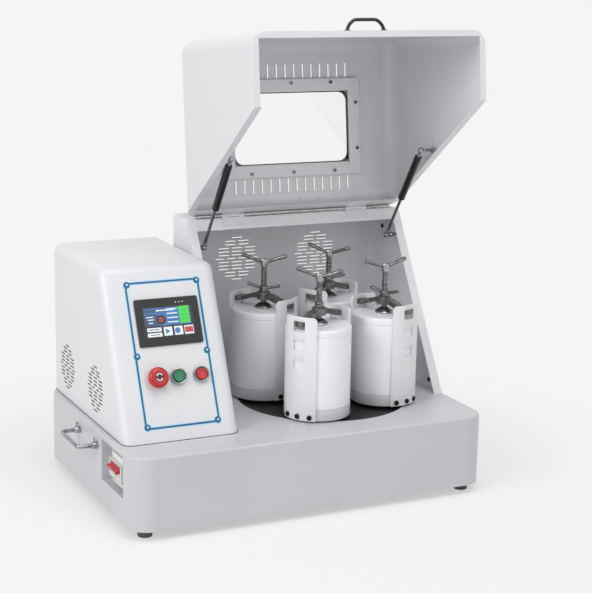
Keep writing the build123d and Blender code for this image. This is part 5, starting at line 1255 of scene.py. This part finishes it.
@dataclass
class JarStation:
    """One of the four jar stations on the turntable."""

    index: int

    @property
    def number(self) -> int:
        """Number in the names of nodes and bodies."""
        return self.index + 1

    @property
    def place(self) -> Matrix:
        """Upright frame on the station's axis."""
        return stand(*STATIONS[self.index])

    def build(self, nodes: dict[str, bpy.types.Object]) -> None:
        """Builds holder, jar, clamp bar, presser, screw and nut."""
        self.holder(nodes[f"jar_holder_{self.number}"])
        self.jar()
        self.bar(nodes[f"crossbar_{self.number}"])
        self.presser()
        self.screw()
        self.nut()

    def holder(self, node: bpy.types.Object) -> None:
        """Rebuilds plates and seat with soft edges, the plain gear, and the black screws."""
        n = self.number
        body = f"station_{n}"
        plates, seats, gears = [], [], []
        for part in islands(node):
            low, high = height_of(part)
            if high > 300:
                plates.append(part)
            elif high < 140:
                gears.append(part)
            elif high > 180:
                seats.append(part)
            else:
                part.free()
        holder = from_bmesh(f"jar_plates_{n}", joined(plates), 0.8)
        # The plates take the inner coat painted lighter, as painted light.
        place_piece(holder, body, ENAMEL_INSIDE_LIT, (f"jar_holder_{n}",))
        place_piece(from_bmesh(f"jar_seat_{n}", joined(seats), 0.5), body, SEAT)
        place_piece(from_bmesh(f"planet_gear_{n}", joined(gears)), body, GEAR)
        spots = []
        for plate in (0, 180):
            for step in (-21, 0, 21):
                turn = radians(CLAMP_HEADINGS[self.index] + plate + step)
                out = Vector((cos(turn), sin(turn), 0))
                head = self.place @ (out * 71.4 * MM + Z_AXIS * 171.5 * MM)
                spots.append((head, out, Z_AXIS, 1.0))
        sizes = {"Head Radius": 0.005, "Head Height": 0.0028}
        heads = NodeRepeat.run(f"plate_screws_{n}", NodeRepeat.socket_head(), spots, sizes, BLACK_OXIDE_AND_BORE_SHADE)
        place_piece(heads, body, BLACK_OXIDE_AND_BORE_SHADE)

    def jar(self) -> None:
        """Turns the pot and its cap."""
        n = self.number
        pot = [
            (0, 184.3), (59.7, 184.3), (59.7, 187.1), (64.8, 187.1), (65.5, 187.9), (65.5, 329.9),
            (65, 330.6), (64.4, 330.9), (55.2, 330.9), (55, 330.7), (55, 200), (52, 197), (0, 197),
        ]
        cap = [
            (0, 326), (54.6, 326), (54.6, 331.1), (64.4, 331.1), (65, 331.4), (65.5, 332.1), (65.5, 340.6),
            (65.1, 342.6), (63.6, 344.2), (61.4, 345), (52.4, 345), (52, 344.6), (51.2, 344.6),
            (50.8, 345), (0, 345),
        ]
        for name, profile, node in (("jar_pot", pot, "jar"), ("jar_cap", cap, "jar_lid")):
            piece = lathe(f"{name}_{n}", profile, self.place, 128)
            place_piece(piece, f"station_{n}", NYLON, (f"{node}_{n}",))

    def bar(self, node: bpy.types.Object) -> None:
        """Rebuilds the arched clamp bar with forged, rounded edges."""
        n = self.number
        piece = from_bmesh(f"clamp_bar_{n}", joined(islands(node)), 2.0)
        place_piece(piece, f"station_{n}", FORGED, (f"crossbar_{n}",))

    def presser(self) -> None:
        """Turns the dark dome and the rim of the presser foot; the rim's bright colour is a painted
        highlight.
        """
        n = self.number
        crown = [(0, 345.3), (16.6, 345.3), (17, 347.8), (15.6, 349.6), (12.4, 352.6), (9.2, 354.8)]
        crown += [(8, 355), (5.2, 355), (5.2, 350), (0, 350)]
        rim = [(16.4, 345.02), (18.4, 345.02), (19, 345.8), (18.9, 347.4), (18, 348.4)]
        rim += [(16.9, 348.3), (16.4, 347)]
        piece = lathe(f"presser_dome_{n}", crown, self.place, 64)
        place_piece(piece, f"presser_{n}", DARK_STEEL, (f"presser_foot_{n}",))
        piece = lathe(f"presser_rim_{n}", rim, self.place, 72)
        # The rim's bright steel colour is a painted highlight.
        place_piece(piece, f"presser_{n}", STEEL_PAINTED_HIGHLIGHT)

    def arms(
        self, bm: Mesh, z: float, heading: float, reach: float, radius: float, rise: float
    ) -> None:
        """Adds two rising, slightly swelling arms with round ends."""
        for side in (0, 180):
            turn, up = radians(heading + side), radians(rise)
            out = Vector((cos(turn) * cos(up), sin(turn) * cos(up), sin(up)))
            start = self.place @ Vector((0, 0, z * MM))
            thin = radius * 0.8
            bar = [(0, 4), (thin, 4), (thin, reach * 0.35), (radius * 0.92, reach * 0.7)]
            bar += [*dome(radius, reach - radius, radius), (0, reach)]
            lathe("arm", bar, along(start, out), 24, bm)

    def screw(self) -> None:
        """Builds the clamp screw with thread, bored hub and tommy arms."""
        n = self.number
        bm = bmesh.new()
        core = [(0, 350.3), (5, 350.3), (5, 355.3), (5.6, 355.3), (5.6, 430), (0, 430)]
        lathe("core", core, self.place, 40, bm)
        self.arms(bm, 438.0, HANDLE_HEADINGS[self.index], 50.0, 4.2, 19.0)
        screw = from_bmesh(f"clamp_screw_body_{n}", bm)
        # The screw's steel carries dark mottling as painted reflections.
        place_piece(screw, f"screw_{n}", STEEL_REFLECTION_MOTTLED, (f"clamp_screw_{n}",))
        hub = [(5.8, 429), (7, 429.4), (7.7, 430.6), (7.7, 444.4), (7, 446), (5, 446)]
        hub += [(4.5, 445.4), (4.5, 438)]
        piece = lathe(f"clamp_screw_hub_{n}", hub, self.place, 48)
        # The hub's bright steel colour is a painted highlight.
        place_piece(piece, f"screw_{n}", STEEL_PAINTED_HIGHLIGHT)
        # A black disc in the hub's bore is painted shade.
        bore_shade = bmesh.new()
        prism(bore_shade, disc(0, 0, 4.4, 24), 441.0, 441.4, self.place)
        place_piece(from_bmesh(f"clamp_screw_bore_shade_{n}", bore_shade), f"screw_{n}", BLACK_OXIDE_AND_BORE_SHADE)
        spot = [(self.place @ Vector((0, 0, 0.357)), Z_AXIS, X_AXIS, 1.0)]
        sizes = {"Core Radius": 0.0056, "Length": 0.07, "Turns": 40.0, "Ridge": 0.00038}
        thread = NodeRepeat.run(f"clamp_thread_{n}", NodeRepeat.thread(), spot, sizes, STEEL_REFLECTION_MOTTLED)
        place_piece(thread, f"screw_{n}", STEEL_REFLECTION_MOTTLED)

    def nut(self) -> None:
        """Builds the winged lock nut."""
        n = self.number
        bm = bmesh.new()
        hub = [(6.1, 378), (8.6, 378), (9, 378.6), (9, 387), (8.2, 389.4), (7.4, 390), (6.1, 390)]
        lathe("hub", hub, self.place, 48, bm)
        turn = NUT_HEADINGS[self.index]
        for side in (0, 180):
            heading, up = radians(turn + side), radians(14.0)
            out = Vector((cos(heading) * cos(up), sin(heading) * cos(up), sin(up)))
            start = self.place @ Vector((0, 0, 0.384))
            wing = [(0, 7.2), (2.9, 7.2), (2.9, 16), (3.3, 27)]
            wing += [*dome(3.5, 33.5, 3.5), (0, 37)]
            lathe("wing", wing, along(start, out), 20, bm)
        place_piece(from_bmesh(f"lock_nut_body_{n}", bm), f"nut_{n}", STEEL_REFLECTION_MOTTLED, (f"lock_nut_{n}",))


@dataclass
class Studio:
    """Pale floor, soft lamps and the fitted camera."""

    lens_mm: float = 1577.98 / 593 * 36
    white: float = 0.913

    def build(self) -> None:
        """Builds the stage."""
        self.camera()
        self.world()
        self.floor()
        target = Vector((0.05, -0.05, 0.4))
        self.lamp("key_lamp", Vector((-3.2, -1.1, 2.2)), target, 1.8, 54.0)
        self.lamp("top_lamp", Vector((0.1, -0.9, 3.3)), target, 2.2, 36.0)
        self.lamp("fill_lamp", Vector((0.9, -2.7, 2.3)), target, 2.0, 11.0)

    def camera(self) -> None:
        """Places the camera at the photograph's angle."""
        yaw, pitch, roll = radians(25.80), radians(-12.66), radians(1.08)
        ahead = Vector((sin(yaw) * cos(pitch), cos(yaw) * cos(pitch), sin(pitch)))
        right = Vector((cos(yaw), -sin(yaw), 0))
        up = right.cross(ahead)
        side = right * cos(roll) + up * sin(roll)
        top = up * cos(roll) - right * sin(roll)
        data = bpy.data.cameras.new("camera")
        data.lens, data.sensor_width = self.lens_mm, 36.0
        data.clip_end = 200.0
        made = bpy.data.objects.new("camera", data)
        turn = Matrix((side, top, -ahead)).transposed().to_4x4()
        made.matrix_world = Matrix.Translation((-1.29337, -2.82046, 1.07729)) @ turn
        bpy.context.scene.collection.objects.link(made)
        bpy.context.scene.camera = made

    def rays(self, tree: bpy.types.NodeTree) -> bpy.types.NodeSocket:
        """Returns 1 for camera, glossy and transmission rays."""
        path = add_node(tree, "ShaderNodeLightPath")
        total = path.outputs["Is Camera Ray"]
        for name in ("Is Glossy Ray", "Is Transmission Ray"):
            more = {0: total, 1: path.outputs[name]}
            total = add_node(tree, "ShaderNodeMath", {"operation": "MAXIMUM"}, links=more).outputs[0]
        return total

    def world(self) -> None:
        """Lights evenly with a soft sky and shows a pale backdrop."""
        world = bpy.data.worlds.new("studio")
        bpy.context.scene.world = world
        world.use_nodes = True
        tree = world.node_tree
        tree.nodes.clear()
        soft = add_node(tree, "ShaderNodeBackground", values={"Color": (1, 1, 1, 1), "Strength": 0.44})
        shown = add_node(
            tree, "ShaderNodeBackground", values={"Color": (self.white,) * 3 + (1,), "Strength": 1.0}
        )
        mixed = add_node(
            tree, "ShaderNodeMixShader", links={0: self.rays(tree), 1: soft.outputs[0], 2: shown.outputs[0]}
        )
        add_node(tree, "ShaderNodeOutputWorld", links={"Surface": mixed.outputs[0]})

    def floor(self) -> None:
        """Lays a pale floor that fades to the backdrop's white."""
        mesh = bpy.data.meshes.new("floor")
        mesh.from_pydata([(-60, -60, 0), (60, -60, 0), (60, 60, 0), (-60, 60, 0)], [], [(0, 1, 2, 3)])
        made = bpy.data.objects.new("floor", mesh)
        bpy.context.scene.collection.objects.link(made)
        material = bpy.data.materials.new("studio_paper")
        material.use_nodes = True
        tree = material.node_tree
        tree.nodes.clear()
        place = add_node(tree, "ShaderNodeTexCoord").outputs["Object"]
        reach = add_node(tree, "ShaderNodeVectorMath", {"operation": "LENGTH"}, links={0: place})
        fade = add_node(
            tree,
            "ShaderNodeMapRange",
            {"interpolation_type": "SMOOTHSTEP"},
            {"From Min": 0.3, "From Max": 1.0, "To Min": 0.5},
            {"Value": reach.outputs["Value"]},
        )
        both = add_node(
            tree,
            "ShaderNodeMath",
            {"operation": "MULTIPLY"},
            links={0: fade.outputs["Result"], 1: self.rays(tree)},
        )
        paper = add_node(
            tree, "ShaderNodeBsdfPrincipled", values={"Base Color": (0.92, 0.92, 0.92, 1), "Roughness": 0.9}
        )
        shown = (self.white, self.white, self.white, 1)
        glow = add_node(tree, "ShaderNodeEmission", values={"Color": shown, "Strength": 1.0})
        mixed = add_node(
            tree, "ShaderNodeMixShader", links={0: both.outputs[0], 1: paper.outputs[0], 2: glow.outputs[0]}
        )
        add_node(tree, "ShaderNodeOutputMaterial", links={"Surface": mixed.outputs[0]})
        mesh.materials.append(material)

    def lamp(self, name: str, spot: Vector, target: Vector, size: float, power: float) -> None:
        """Hangs one square soft lamp."""
        data = bpy.data.lights.new(name, "AREA")
        data.shape, data.size, data.energy = "SQUARE", size, power
        made = bpy.data.objects.new(name, data)
        turn = (target - spot).to_track_quat("-Z", "Y").to_matrix().to_4x4()
        made.matrix_world = Matrix.Translation(spot) @ turn
        bpy.context.scene.collection.objects.link(made)


def main() -> None:
    """Loads the frame and builds each sub-assembly round it."""
    logging.basicConfig(level=logging.INFO, format="%(name)s %(message)s")
    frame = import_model()
    nodes = frame["nodes"]
    bpy.context.scene.view_settings.view_transform = "Standard"
    Studio().build()
    Cabinet().build(nodes)
    ControlBox().build(nodes)
    Housing().build(nodes)
    Hood().build(nodes)
    Struts().build()
    for index in range(len(STATIONS)):
        JarStation(index).build(nodes)


if __name__ == "__main__":
    main()
